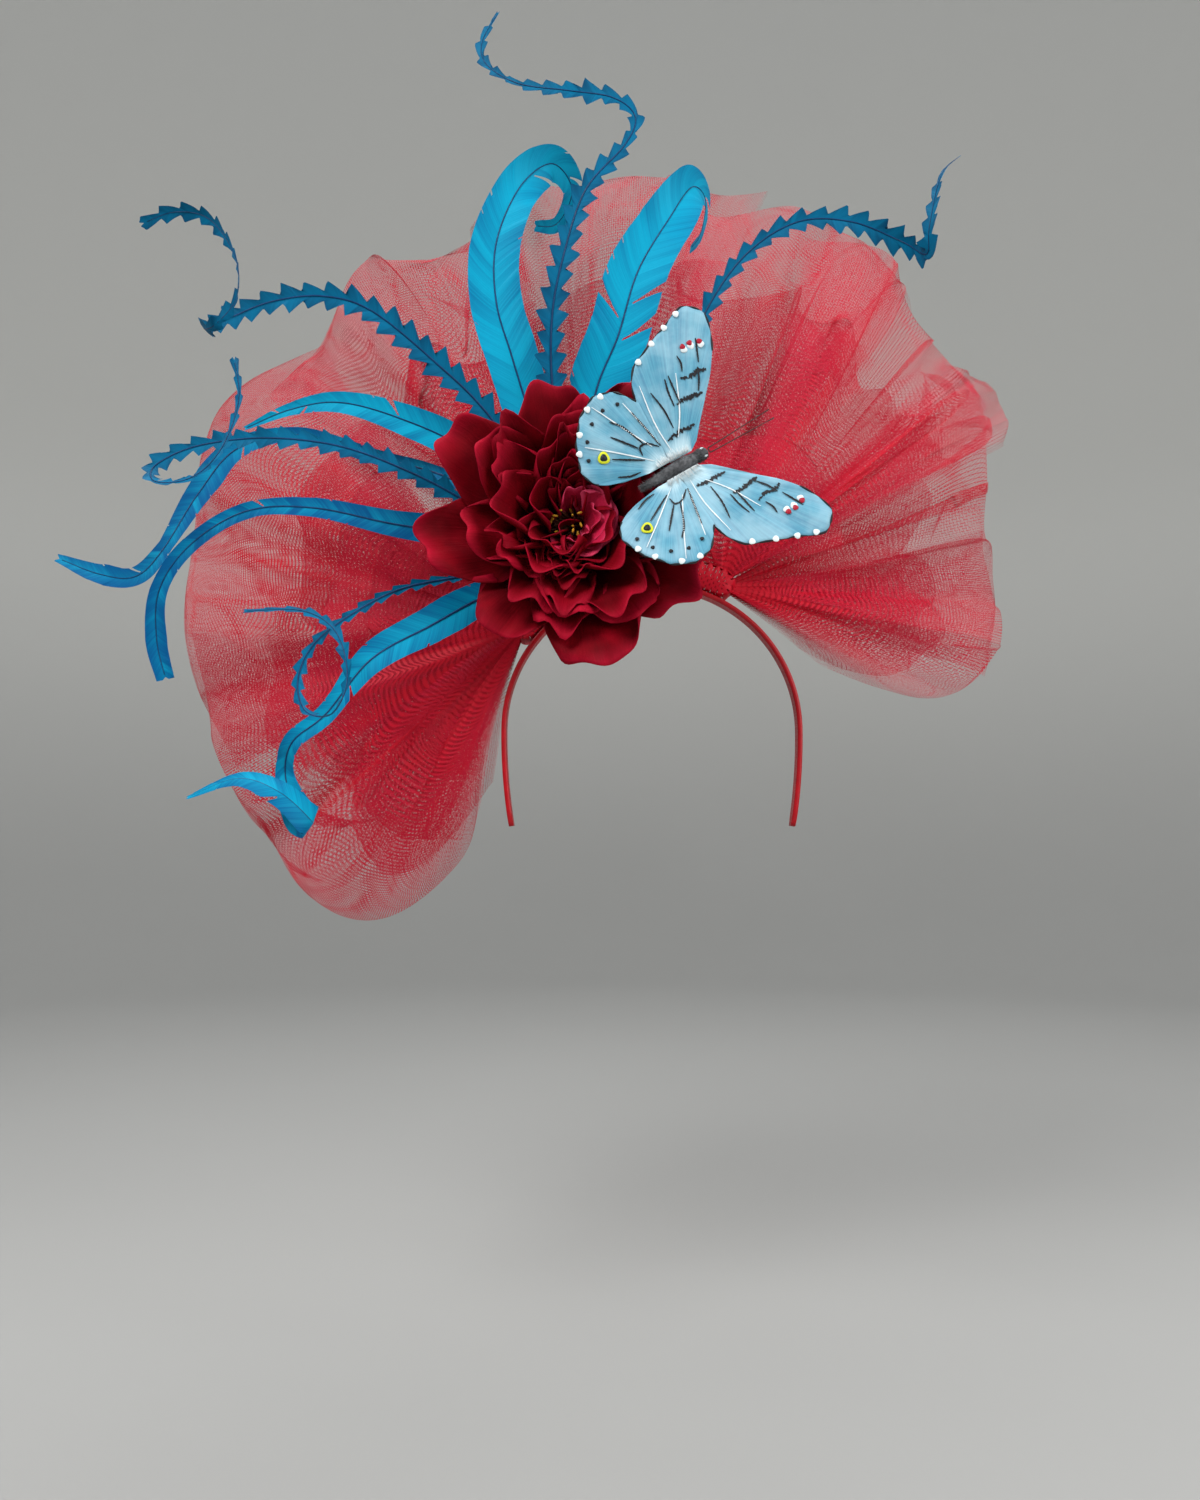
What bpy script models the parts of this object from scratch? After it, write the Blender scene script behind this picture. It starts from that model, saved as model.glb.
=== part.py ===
"""A race-day fascinator: a covered headband that carries net puffs, dyed feathers, a peony and a butterfly.

Metres, +Z up. The wearer faces -Y and +X is at the right of someone who faces the wearer.
The origin is on top of the head, under the middle of the headband.
"""

import math
from collections import namedtuple

import bmesh
import bpy
from mathutils import Matrix, Vector

MM = 0.001
SEAT_GAP = 0.3 * MM

# Headband: a half ring over the head, with two legs that bend in below the ears.
BAND_INNER_RADIUS = 75.5 * MM
BAND_THICKNESS = 2.6 * MM
BAND_WIDTH = 10.0 * MM
BAND_EDGE = 0.7 * MM
LEG_LENGTH = 50.0 * MM
LEG_BEND_RADIUS = 300.0 * MM
TIP_TAPER = 0.6

# Base: a felt disc sewn to the front edge of the headband, behind the flower.
BASE_RADIUS = 31.0 * MM
BASE_THICKNESS = 2.5 * MM
BASE_RIGHT = -40.0 * MM
BASE_UP = 20.0 * MM

# Net: every puff is a folded sheet whose two ends are sewn into one gathered roll on the headband.
PUFF_LENGTH = 285.0 * MM
PUFF_BELLY = 13.0 * MM
PUFF_RUFFLE = 9.0 * MM
NET_WALL = 1.0 * MM
ROLL_RADIUS = 7.0 * MM
ROLL_DEPTH = 22.0 * MM
ROLL_EDGE = 1.5 * MM
ROLL_START_TURN = 65.0
ROLL_END_TURN = 140.0
RANK_SPACING = ROLL_DEPTH / 3
ROOT_GAP = 1.3 * MM
ROOT_SPREAD = 0.8

# Feathers
FEATHER_REACH = 285.0 * MM
FEATHER_HALF_WIDTH = 16.0 * MM
BLADE_WALL = 0.8 * MM
QUILL_WIDTH = 2.0 * MM
ROOT_PLACE = 0.6
ROOT_BEND = 0.35
LAYER_STEP = 2.2 * MM
TOOTH_PITCH = 11.0 * MM
TOOTH_VALLEY = 0.4
TOOTH_PEAK = 0.85
BARE_TEETH = 2.0
KEEL = 0.15

# Peony
PETAL_REACH = 75.0 * MM
PETAL_ROOT_RADIUS = 12.0 * MM
HEART_HEIGHT = 17.0 * MM
PETAL_CUP = 3.0 * MM
PETAL_TILT = 2.2 * MM
TILT_RAMP = 0.25
STEM_RADIUS = 5.5 * MM
STEM_NECK = 4.0 * MM
STEM_SIDES = 14
FLOWER_STANDOFF = 12.0 * MM
FLOWER_PITCH = 4.0
PETAL_WALL = 1.0 * MM
PETAL_VARIETY = 0.07
PETAL_WIDTHS = [(0.0, 0.75), (0.35, 1.12), (0.65, 1.28), (0.88, 1.12), (1.0, 0.7)]
TIP_ROUNDING = 0.16
ROOT_CLEARANCE = 0.75 * MM
EYE_RISE = 2.0 * MM
EYE_RADIUS = 2.3 * MM
STAMEN_INSET = 0.45 * MM
STAMEN_LENGTH = 15.0 * MM
STAMEN_SPREAD = 0.25
STAMEN_RISE = 0.5
STAMEN_TIP = 0.35
STAMEN_LEAN = Vector((-2.5 * MM, -1.0 * MM, 0.0))

# Butterfly
WING_LENGTH = 75.0 * MM
WING_WALL = 0.8 * MM
BODY_LENGTH = 36.0 * MM
BODY_RADIUS = 3.6 * MM
BUTTERFLY_TURN = 30.6
WING_PITCH = 9.0
WING_CAMBER = 2.5 * MM
WING_STEP = 1.6 * MM
BUTTERFLY_HEIGHT = 57.0 * MM
BUTTERFLY_RIGHT = 48.0 * MM
BUTTERFLY_UP = 15.0 * MM
ANTENNA_RADIUS = 0.35 * MM
ANTENNA_LENGTH = 34.0 * MM
ANTENNA_SPREAD = 4.0
ANTENNA_RISE = 2.0 * MM
ANTENNA_FOOT = 1.2 * MM
POST_RADIUS = 0.8 * MM
POST_PLACE = (0.88, -0.5)
FOOT_CLEARANCE = 0.3 * MM

Ring = namedtuple("Ring", "name petals turn fan root_radius root_height slope curl reach cup tilt")
Puff = namedtuple("Puff", "name knot rank lean middle spread length edge belly pleats ruffle phase")
Feather = namedtuple("Feather", "name reach half_width root_turn layer route widths")

# Peony rings, from the outermost in. Angles are in degrees: turn places the first petal, fan is how far
# round the ring goes, slope is the rise of the petal from the root, curl is what the slope gains by the tip.
# The other columns are shares of the peony's named sizes.
RINGS = [
    Ring("guard", 8, 12.0, 360.0, 1.0, 0.118, 37.0, -6.0, 1.0, 0.67, 1.0),
    Ring("outer", 7, 40.0, 360.0, 0.875, 0.324, 44.0, 6.0, 0.827, 1.0, 1.0),
    Ring("middle", 5, 100.0, 360.0, 0.75, 0.529, 53.0, 14.0, 0.693, 1.0, 0.91),
    Ring("inner", 4, 150.0, 360.0, 0.625, 0.735, 60.0, 18.0, 0.547, 0.83, 0.91),
    Ring("heart", 3, -72.0, 240.0, 0.5, 1.0, 72.0, 4.0, 0.32, 0.33, 0.68),
]

# Net puffs. knot is where on the roll the sheet is gathered, in degrees round the headband, rank its row
# from front to back, lean how far it slants back for each millimetre out, and middle and spread its
# direction and half angle in degrees. length, belly (half the air gap inside) and ruffle (the height of
# the pleats) are shares of the named sizes, edge holds the length from one side to the other as shares
# of the puff's own, and phase is where the pleats start, in radians.
PUFFS = [
    Puff("puff_left_low", ROLL_END_TURN, 0, 0.10, 218.5, 38.5, 0.639,
         (0.99, 0.98, 0.97, 0.98, 1.00, 0.93, 0.62), 1.0, 2.5, 1.0, 0.6),
    Puff("puff_left_short", ROLL_END_TURN, 1, 0.30, 219.0, 30.0, 0.463, (0.94, 1.00, 0.96, 1.00, 0.90),
         0.7, 3.0, 0.67, 2.2),
    Puff("puff_left_high", ROLL_END_TURN, 2, 0.40, 162.0, 38.0, 0.884, (0.97, 0.99, 0.90, 0.82, 0.77),
         1.0, 2.0, 1.0, 1.4),
    Puff("puff_top_left", 115.0, 1, 0.24, 122.5, 23.5, 0.86, (1.00, 0.93, 0.99, 0.90, 0.93),
         0.7, 1.5, 0.67, 3.1),
    Puff("puff_top", 115.0, 0, 0.15, 87.0, 21.0, 0.912, (1.00, 0.95, 0.97, 0.91, 0.83),
         0.7, 2.0, 0.78, 0.2),
    Puff("puff_right_top", 78.0, 2, 0.40, 72.0, 20.0, 1.0, (0.90, 0.98, 0.96, 0.96, 1.00),
         0.92, 1.5, 0.78, 4.4),
    Puff("puff_right_high", ROLL_START_TURN, 1, 0.22, 55.0, 20.0, 0.832, (0.82, 0.85, 0.88, 0.98, 0.98),
         1.0, 1.5, 0.89, 2.7),
    Puff("puff_right_loop", ROLL_START_TURN, 0, 0.08, 36.0, 9.0, 0.656, (0.93, 0.99, 1.00, 0.98, 0.93),
         0.85, 1.0, 0.56, 0.9),
    Puff("puff_right_side", ROLL_START_TURN, 2, 0.40, 14.0, 27.0, 0.789, (0.75, 0.77, 0.76, 0.87, 1.00),
         1.0, 2.0, 0.89, 5.3),
    Puff("puff_right_low", ROLL_START_TURN, 1, 0.22, -11.0, 25.0, 0.568, (0.45, 0.85, 0.99, 1.00, 0.95),
         1.0, 2.0, 0.89, 3.8),
]

# Trimmed feathers, whose barbs are cut into saw teeth. root_turn is where on the base disc the quill is
# glued, in degrees, and layer how many blades it passes over there. Each row of a route is a point to the
# right of, behind and above the middle of the base disc, as shares of the reach. A width row is a share
# of the length and a share of the half width. reach and half_width are shares of the named sizes.
SPIRES = [
    Feather("spire_top", 1.0, 0.531, 98.0, 3,
            [(-0.04, -0.05, 0.28), (-0.04, -0.08, 0.40), (-0.02, -0.10, 0.50), (0.02, -0.11, 0.62),
             (0.09, -0.10, 0.71), (0.11, -0.09, 0.77), (0.07, -0.10, 0.80), (-0.01, -0.12, 0.80),
             (-0.10, -0.11, 0.82), (-0.16, -0.09, 0.87), (-0.17, -0.08, 0.92), (-0.14, -0.07, 0.99)],
            [(0.0, 0.9), (0.25, 1.0), (0.50, 0.85), (0.60, 0.45), (0.72, 0.8), (0.84, 0.25), (0.93, 0.5),
             (1.0, 0.1)]),
    Feather("spire_left_high", 0.912, 0.562, 124.0, 3,
            [(-0.17, -0.06, 0.25), (-0.27, -0.10, 0.34), (-0.39, -0.13, 0.43), (-0.48, -0.15, 0.45),
             (-0.57, -0.17, 0.43), (-0.64, -0.19, 0.39), (-0.67, -0.25, 0.34), (-0.63, -0.31, 0.32),
             (-0.60, -0.29, 0.38), (-0.62, -0.24, 0.48), (-0.68, -0.21, 0.57), (-0.75, -0.20, 0.59),
             (-0.81, -0.21, 0.56)],
            [(0.0, 0.9), (0.30, 1.0), (0.50, 0.75), (0.65, 0.6), (0.80, 0.15), (0.90, 0.5), (1.0, 0.3)]),
    Feather("spire_right", 0.947, 0.469, 54.0, 2,
            [(0.20, -0.04, 0.28), (0.24, -0.06, 0.42), (0.32, -0.08, 0.54), (0.42, -0.10, 0.60),
             (0.52, -0.12, 0.59), (0.61, -0.14, 0.54), (0.64, -0.19, 0.49), (0.64, -0.21, 0.53),
             (0.67, -0.19, 0.64), (0.71, -0.19, 0.68)],
            [(0.0, 0.7), (0.25, 0.8), (0.50, 0.7), (0.70, 1.0), (0.85, 0.9), (1.0, 0.1)]),
    Feather("spire_left_middle", 0.737, 0.438, 170.0, 2,
            [(-0.26, -0.08, 0.09), (-0.39, -0.12, 0.15), (-0.55, -0.16, 0.20), (-0.72, -0.19, 0.21),
             (-0.87, -0.22, 0.18), (-0.95, -0.26, 0.12), (-0.92, -0.33, 0.06), (-0.84, -0.33, 0.07),
             (-0.79, -0.29, 0.15), (-0.76, -0.27, 0.27), (-0.78, -0.25, 0.38)],
            [(0.0, 0.8), (0.25, 1.0), (0.55, 0.8), (0.70, 0.7), (0.80, 0.25), (1.0, 0.2)]),
    Feather("spire_coil", 0.596, 0.281, 200.0, 2,
            [(-0.32, -0.05, -0.10), (-0.51, -0.13, -0.16), (-0.65, -0.21, -0.26), (-0.73, -0.29, -0.36),
             (-0.75, -0.36, -0.47), (-0.71, -0.42, -0.56), (-0.63, -0.46, -0.57), (-0.60, -0.42, -0.47),
             (-0.65, -0.35, -0.33), (-0.76, -0.30, -0.26), (-0.93, -0.29, -0.26)],
            [(0.0, 0.5), (0.20, 0.7), (0.45, 0.7), (0.65, 1.0), (0.85, 0.7), (1.0, 0.2)]),
]

# Whole feathers
PLUMES = [
    Feather("plume_top", 0.719, 0.875, 112.0, 1,
            [(-0.12, -0.03, 0.35), (-0.16, -0.05, 0.48), (-0.20, -0.06, 0.62), (-0.20, -0.07, 0.77),
             (-0.14, -0.07, 0.92), (-0.06, -0.04, 1.00), (-0.01, 0.03, 0.97), (-0.05, 0.07, 0.90),
             (-0.11, 0.03, 0.87)],
            [(0.0, 0.5), (0.15, 0.9), (0.35, 1.0), (0.55, 0.95), (0.75, 0.75), (0.9, 0.4), (1.0, 0.2)]),
    Feather("plume_top_right", 0.719, 1.0, 80.0, 0,
            [(0.05, -0.03, 0.38), (0.11, -0.06, 0.53), (0.16, -0.08, 0.69), (0.24, -0.08, 0.83),
             (0.30, -0.05, 0.93), (0.34, 0.01, 0.93), (0.33, 0.05, 0.86), (0.30, 0.04, 0.81)],
            [(0.0, 0.4), (0.12, 0.8), (0.35, 1.0), (0.55, 1.0), (0.75, 0.8), (0.9, 0.5), (1.0, 0.2)]),
    Feather("plume_left_high", 0.632, 0.625, 140.0, 0,
            [(-0.32, -0.03, 0.28), (-0.50, -0.06, 0.36), (-0.67, -0.08, 0.40), (-0.81, -0.08, 0.38),
             (-0.95, -0.06, 0.33)],
            [(0.0, 0.6), (0.25, 1.0), (0.5, 0.85), (0.75, 0.5), (1.0, 0.1)]),
    Feather("plume_left_long", 0.754, 0.562, 185.0, 1,
            [(-0.29, -0.05, 0.02), (-0.43, -0.10, 0.03), (-0.60, -0.16, 0.05), (-0.74, -0.20, 0.03),
             (-0.86, -0.21, -0.05), (-0.93, -0.20, -0.15), (-0.94, -0.18, -0.26), (-0.92, -0.17, -0.35)],
            [(0.0, 0.7), (0.15, 1.0), (0.35, 0.7), (0.55, 0.45), (0.8, 0.45), (0.92, 0.6), (1.0, 0.5)]),
    Feather("plume_left_fork", 0.895, 0.438, 161.0, 0,
            [(-0.25, 0.00, 0.14), (-0.42, 0.03, 0.20), (-0.58, 0.04, 0.25), (-0.70, 0.01, 0.21),
             (-0.76, -0.04, 0.10), (-0.81, -0.09, -0.03), (-0.85, -0.12, -0.09), (-0.91, -0.14, -0.09),
             (-0.99, -0.15, -0.06)],
            [(0.0, 0.4), (0.25, 0.6), (0.5, 0.6), (0.65, 1.0), (0.8, 0.5), (0.92, 0.8), (1.0, 0.3)]),
    Feather("plume_low", 0.807, 0.625, 214.0, 0,
            [(-0.21, -0.05, -0.13), (-0.31, -0.10, -0.20), (-0.43, -0.14, -0.28), (-0.52, -0.16, -0.40),
             (-0.59, -0.16, -0.46), (-0.61, -0.13, -0.53), (-0.57, -0.17, -0.61), (-0.53, -0.21, -0.63),
             (-0.59, -0.24, -0.57), (-0.68, -0.23, -0.54), (-0.79, -0.22, -0.58)],
            [(0.0, 0.6), (0.2, 1.0), (0.35, 0.8), (0.45, 0.5), (0.6, 0.45), (0.72, 0.9), (0.85, 0.7),
             (1.0, 0.1)]),
]

# Wing outlines, as shares of the wing length ahead of and beside the middle of the body.
FORE_WING = [(0.21, 0.09), (0.31, 0.20), (0.41, 0.31), (0.51, 0.42), (0.60, 0.56), (0.65, 0.68),
             (0.64, 0.78), (0.58, 0.84), (0.48, 0.84), (0.36, 0.78), (0.22, 0.73), (0.10, 0.67),
             (0.02, 0.57), (-0.01, 0.45)]
HIND_WING = [(0.00, 0.45), (-0.08, 0.56), (-0.17, 0.61), (-0.28, 0.60), (-0.38, 0.53), (-0.46, 0.43),
             (-0.52, 0.30), (-0.52, 0.20), (-0.44, 0.12), (-0.32, 0.08)]
# Where along the body each wing is rooted, as shares of the wing length.
FORE_ROOT = (0.15, 0.0)
HIND_ROOT = (-0.01, -0.15)

# The body, as shares of its length from the middle and of its radius.
BODY_PROFILE = [(-0.5, 0.25), (-0.38, 0.7), (-0.15, 0.85), (0.05, 1.0), (0.22, 0.95), (0.33, 0.65),
                (0.40, 0.8), (0.47, 0.6), (0.5, 0.25)]
BODY_SIDES = 10

BAND_STEPS = 26
LEG_STEPS = 4
PLUME_STEPS = 15
PUFF_ACROSS = 9
PUFF_ALONG = 11
PETAL_ROWS = (0.0, 0.35, 0.65, 0.88, 1.0)
PETAL_COLUMNS = 5
WING_ROWS = (0.0, 0.5, 1.0)

BAND_OUTER_RADIUS = BAND_INNER_RADIUS + BAND_THICKNESS
BAND_CENTRE = Vector((0.0, 0.0, -BAND_INNER_RADIUS))
BASE_BACK = -BAND_WIDTH / 2 - SEAT_GAP
BASE_FRONT = BASE_BACK - BASE_THICKNESS
BASE_CENTRE = Vector((BASE_RIGHT, BASE_FRONT, BASE_UP))
ROLL_FRONT = BASE_BACK + SEAT_GAP
ROLL_ARC = BAND_OUTER_RADIUS + SEAT_GAP + ROLL_RADIUS
RIGHT = Vector((1.0, 0.0, 0.0))
BACK = Vector((0.0, 1.0, 0.0))
UP = Vector((0.0, 0.0, 1.0))

COLOURS = {
    "band": ((0.42, 0.004, 0.012), 0.45),
    "felt": ((0.05, 0.002, 0.006), 0.9),
    "net": ((0.62, 0.012, 0.035), 0.6),
    "petal": ((0.18, 0.004, 0.014), 0.6),
    "heart_petal": ((0.38, 0.012, 0.05), 0.6),
    "stamen": ((0.22, 0.10, 0.01), 0.7),
    "plume": ((0.01, 0.36, 0.62), 0.5),
    "spire": ((0.006, 0.12, 0.27), 0.5),
    "wing": ((0.24, 0.56, 0.70), 0.6),
    "body": ((0.02, 0.02, 0.025), 0.8),
    "wire": ((0.03, 0.03, 0.03), 0.5),
}


def material(slot):
    """The plain finish of one kind of piece."""
    found = bpy.data.materials.get(slot)
    if found:
        return found
    colour, roughness = COLOURS[slot]
    made = bpy.data.materials.new(slot)
    made.use_nodes = True
    shader = made.node_tree.nodes["Principled BSDF"]
    shader.inputs["Base Color"].default_value = (*colour, 1.0)
    shader.inputs["Roughness"].default_value = roughness
    shader.inputs["Metallic"].default_value = 0.0
    return made


def add_mesh(name, bm, slot):
    """An object from a bmesh, with its faces turned out."""
    bmesh.ops.recalc_face_normals(bm, faces=bm.faces)
    mesh = bpy.data.meshes.new(name)
    bm.to_mesh(mesh)
    bm.free()
    mesh.shade_smooth()
    mesh.set_sharp_from_angle(angle=math.radians(40))
    made = bpy.data.objects.new(name, mesh)
    made.data.materials.append(material(slot))
    bpy.context.scene.collection.objects.link(made)
    return made


def sheet(name, rows, wall, slot):
    """A thin sheet through a grid of points, thickened evenly on both sides."""
    bm = bmesh.new()
    grid = [[bm.verts.new(point) for point in row] for row in rows]
    for row, after in zip(grid, grid[1:]):
        for a, b, c, d in zip(row, row[1:], after[1:], after):
            bm.faces.new((a, b, c, d))
    made = add_mesh(name, bm, slot)
    thicken = made.modifiers.new("wall", "SOLIDIFY")
    thicken.thickness = wall
    thicken.offset = 0.0
    return made


def loft(name, rings, slot):
    """A solid through closed rings of points, with flat ends."""
    bm = bmesh.new()
    loops = [[bm.verts.new(point) for point in ring] for ring in rings]
    for loop, after in zip(loops, loops[1:]):
        for i, vert in enumerate(loop):
            j = (i + 1) % len(loop)
            bm.faces.new((vert, loop[j], after[j], after[i]))
    bm.faces.new(loops[0])
    bm.faces.new(list(reversed(loops[-1])))
    return add_mesh(name, bm, slot)


def tube(name, points, radius, slot):
    """A round wire through a few points."""
    curve = bpy.data.curves.new(name, "CURVE")
    curve.dimensions = "3D"
    curve.bevel_depth = radius
    curve.bevel_resolution = 1
    curve.use_fill_caps = True
    line = curve.splines.new("POLY")
    line.points.add(len(points) - 1)
    for target, point in zip(line.points, points):
        target.co = (*point, 1.0)
    made = bpy.data.objects.new(name, curve)
    curve.materials.append(material(slot))
    bpy.context.scene.collection.objects.link(made)
    return made


def between(rows, share):
    """The value at a share of the way, read off a table of (share, value) rows."""
    for (low, first), (high, second) in zip(rows, rows[1:]):
        if share <= high:
            return first + (second - first) * (share - low) / (high - low)
    return rows[-1][1]


def curve_point(points, place):
    """A point on the smooth curve through the points, where place counts them."""
    i = min(int(place), len(points) - 2)
    t = place - i
    b, c = points[i], points[i + 1]
    a = points[i - 1] if i else b * 2 - c
    d = points[i + 2] if i + 2 < len(points) else c * 2 - b
    return (b * 2 + (c - a) * t + (a * 2 - b * 5 + c * 4 - d) * t**2 + (b * 3 - a - c * 3 + d) * t**3) / 2


def even_route(points, shares):
    """Points of the smooth curve at the given shares of its length."""
    steps = 16 * (len(points) - 1)
    fine = [curve_point(points, i * (len(points) - 1) / steps) for i in range(steps + 1)]
    run = [0.0]
    for first, second in zip(fine, fine[1:]):
        run.append(run[-1] + (second - first).length)
    found = []
    for share in shares:
        goal = share * run[-1]
        i = min(max(1, sum(1 for r in run if r < goal)), steps)
        t = (goal - run[i - 1]) / (run[i] - run[i - 1])
        found.append(fine[i - 1].lerp(fine[i], t))
    return found, run[-1]


def blade_sides(line):
    """The sideways direction of a blade at each point of its quill, turned as little as the curve allows."""
    sides = []
    normal = -BACK
    for i in range(len(line)):
        ahead = line[min(i + 1, len(line) - 1)] - line[max(i - 1, 0)]
        ahead.normalize()
        normal = (normal - ahead * normal.dot(ahead)).normalized()
        sides.append(ahead.cross(normal))
    return sides


def quill_route(feather):
    """The route of a feather: its root on the base disc, then its rows."""
    turn = math.radians(feather.root_turn)
    out = RIGHT * math.cos(turn) + UP * math.sin(turn)
    root = BASE_CENTRE - BACK * (SEAT_GAP + BLADE_WALL / 2) + out * BASE_RADIUS * ROOT_PLACE
    bend = root + out * BASE_RADIUS * ROOT_BEND - BACK * feather.layer * LAYER_STEP
    reach = FEATHER_REACH * feather.reach
    rows = [BASE_CENTRE + Vector(row) * reach for row in feather.route]
    return [root, bend] + rows


def spire(feather):
    """A trimmed feather: its half width climbs along each tooth and drops at the tooth's point."""
    route = quill_route(feather)
    length = even_route(route, [1.0])[1]
    teeth = round(length / TOOTH_PITCH)
    shares, halves = [0.0], [QUILL_WIDTH / 2]
    for tooth in range(teeth):
        for part, size in ((0.0, TOOTH_VALLEY), (TOOTH_PEAK, 1.0)):
            share = (tooth + part + BARE_TEETH) / (teeth + BARE_TEETH)
            full = FEATHER_HALF_WIDTH * feather.half_width * between(feather.widths, share)
            shares.append(share)
            halves.append(max(full * size, QUILL_WIDTH / 2))
    line = even_route(route, shares)[0]
    sides = blade_sides(line)
    rows = [(p - s * h, p + s * h) for p, s, h in zip(line, sides, halves)]
    return sheet(feather.name, rows, BLADE_WALL, "spire")


def plume(feather):
    """A whole feather: a blade with a slight keel along its quill."""
    shares = [i / (PLUME_STEPS - 1) for i in range(PLUME_STEPS)]
    line = even_route(quill_route(feather), shares)[0]
    sides = blade_sides(line)
    rows = []
    for i, (point, side, share) in enumerate(zip(line, sides, shares)):
        half = FEATHER_HALF_WIDTH * feather.half_width * between(feather.widths, share)
        half = max(half, QUILL_WIDTH / 2)
        if i == 0:
            half = QUILL_WIDTH / 2
        ahead = (line[min(i + 1, len(line) - 1)] - line[max(i - 1, 0)]).normalized()
        keel = side.cross(ahead) * half * KEEL
        rows.append((point - side * half + keel, point, point + side * half + keel))
    return sheet(feather.name, rows, BLADE_WALL, "plume")


def round_ray(turn):
    """The direction in the headband's plane at an angle in degrees."""
    angle = math.radians(turn)
    return Vector((math.cos(angle), 0, math.sin(angle)))


def band_stations():
    """Points along the middle of the headband's wall, with the outward direction at each."""
    middle = BAND_INNER_RADIUS + BAND_THICKNESS / 2
    leg_turn = LEG_LENGTH / LEG_BEND_RADIUS
    found = []
    legs = LEG_STEPS
    for i in range(legs):
        angle = leg_turn * (1 - i / legs)
        x = middle - LEG_BEND_RADIUS * (1 - math.cos(angle))
        place = Vector((x, 0, -LEG_BEND_RADIUS * math.sin(angle)))
        found.append((place, round_ray(-math.degrees(angle))))
    for i in range(BAND_STEPS + 1):
        out = round_ray(180 * i / BAND_STEPS)
        found.append((out * middle, out))
    for place, out in reversed(found[:legs]):
        found.append((Vector((-place.x, 0, place.z)), Vector((-out.x, 0, out.z))))
    return [(BAND_CENTRE + place, out) for place, out in found]


def headband():
    """The covered headband, with narrowed ends."""
    rings = []
    stations = band_stations()
    for i, (place, out) in enumerate(stations):
        end = i in (0, len(stations) - 1)
        deep = BAND_WIDTH / 2 * (TIP_TAPER if end else 1.0)
        wall = BAND_THICKNESS / 2
        flat = deep - BAND_EDGE
        section = [(-wall, -flat), (-wall, flat), (0.0, deep), (wall, flat), (wall, -flat), (0.0, -deep)]
        rings.append([place + out * a + BACK * b for a, b in section])
    return loft("headband", rings, "band")


def base_disc():
    """The felt disc behind the flower."""
    bm = bmesh.new()
    bmesh.ops.create_cone(bm, cap_ends=True, segments=28, radius1=BASE_RADIUS, radius2=BASE_RADIUS,
                          depth=BASE_THICKNESS)
    bmesh.ops.rotate(bm, verts=bm.verts, matrix=Matrix.Rotation(math.pi / 2, 3, "X"))
    bmesh.ops.translate(bm, verts=bm.verts, vec=BASE_CENTRE + BACK * (BASE_THICKNESS / 2))
    return add_mesh("base_disc", bm, "felt")


def roll_point(turn):
    """The middle of the gathered roll at an angle round the headband, in degrees."""
    return BAND_CENTRE + round_ray(turn) * ROLL_ARC


def net_roll():
    """The gathered root of the net: a flat-sided roll with round ends, on top of the headband."""
    steps, bend = 12, 5
    arc = [ROLL_START_TURN + (ROLL_END_TURN - ROLL_START_TURN) * i / steps for i in range(steps + 1)]
    turns = [180 * i / bend for i in range(1, bend)]
    back = ROLL_DEPTH - ROLL_EDGE
    rings = []
    for depth, inset in ((0.0, ROLL_EDGE), (ROLL_EDGE, 0.0), (back, 0.0), (ROLL_DEPTH, ROLL_EDGE)):
        radius = ROLL_RADIUS - inset
        outline = [roll_point(turn) + round_ray(turn) * radius for turn in arc]
        outline += [roll_point(ROLL_END_TURN) + round_ray(ROLL_END_TURN + turn) * radius for turn in turns]
        outline += [roll_point(turn) - round_ray(turn) * radius for turn in reversed(arc)]
        outline += [roll_point(ROLL_START_TURN) - round_ray(ROLL_START_TURN + turn) * radius for turn in turns]
        rings.append([point + BACK * (ROLL_FRONT + depth) for point in outline])
    return loft("net_roll", rings, "net")


def root_distance(knot, turn):
    """How far from its gathering point a net sheet clears the roll, in the direction turn, in degrees."""
    past_end = (turn < knot and knot == ROLL_START_TURN) or (turn > knot and knot == ROLL_END_TURN)
    clear = ROLL_RADIUS + SEAT_GAP
    return clear if past_end else clear / math.cos(math.radians(turn - knot))


def puff_point(puff, across, along):
    """A point of a puff's sheet: across runs from side to side, along from the front root round the fold."""
    out = math.sin(math.pi * along)
    turn = puff.middle + puff.spread * across * (ROOT_SPREAD + (1 - ROOT_SPREAD) * out)
    root = root_distance(puff.knot, turn)
    wave = math.pi * puff.pleats * across + puff.phase
    shares = [(2 * i / (len(puff.edge) - 1) - 1, share) for i, share in enumerate(puff.edge)]
    fold = PUFF_LENGTH * puff.length * between(shares, across)
    radial = root + (fold - root) * out
    share = radial / fold
    gap = ROOT_GAP + PUFF_BELLY * puff.belly * share**0.8
    depth = ROLL_FRONT + RANK_SPACING * (puff.rank + 0.5) + puff.lean * (radial - root)
    depth -= gap * math.cos(math.pi * along)
    depth += PUFF_RUFFLE * puff.ruffle * share**1.5 * math.sin(wave + 0.9 * along)
    return roll_point(puff.knot) + round_ray(turn) * radial + BACK * depth


def puff(row):
    """One net puff: a folded sheet that opens like a fan."""
    rows = []
    for i in range(PUFF_ALONG):
        along = i / (PUFF_ALONG - 1)
        rows.append([puff_point(row, 2 * j / (PUFF_ACROSS - 1) - 1, along) for j in range(PUFF_ACROSS)])
    return sheet(row.name, rows, NET_WALL, "net")


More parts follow.
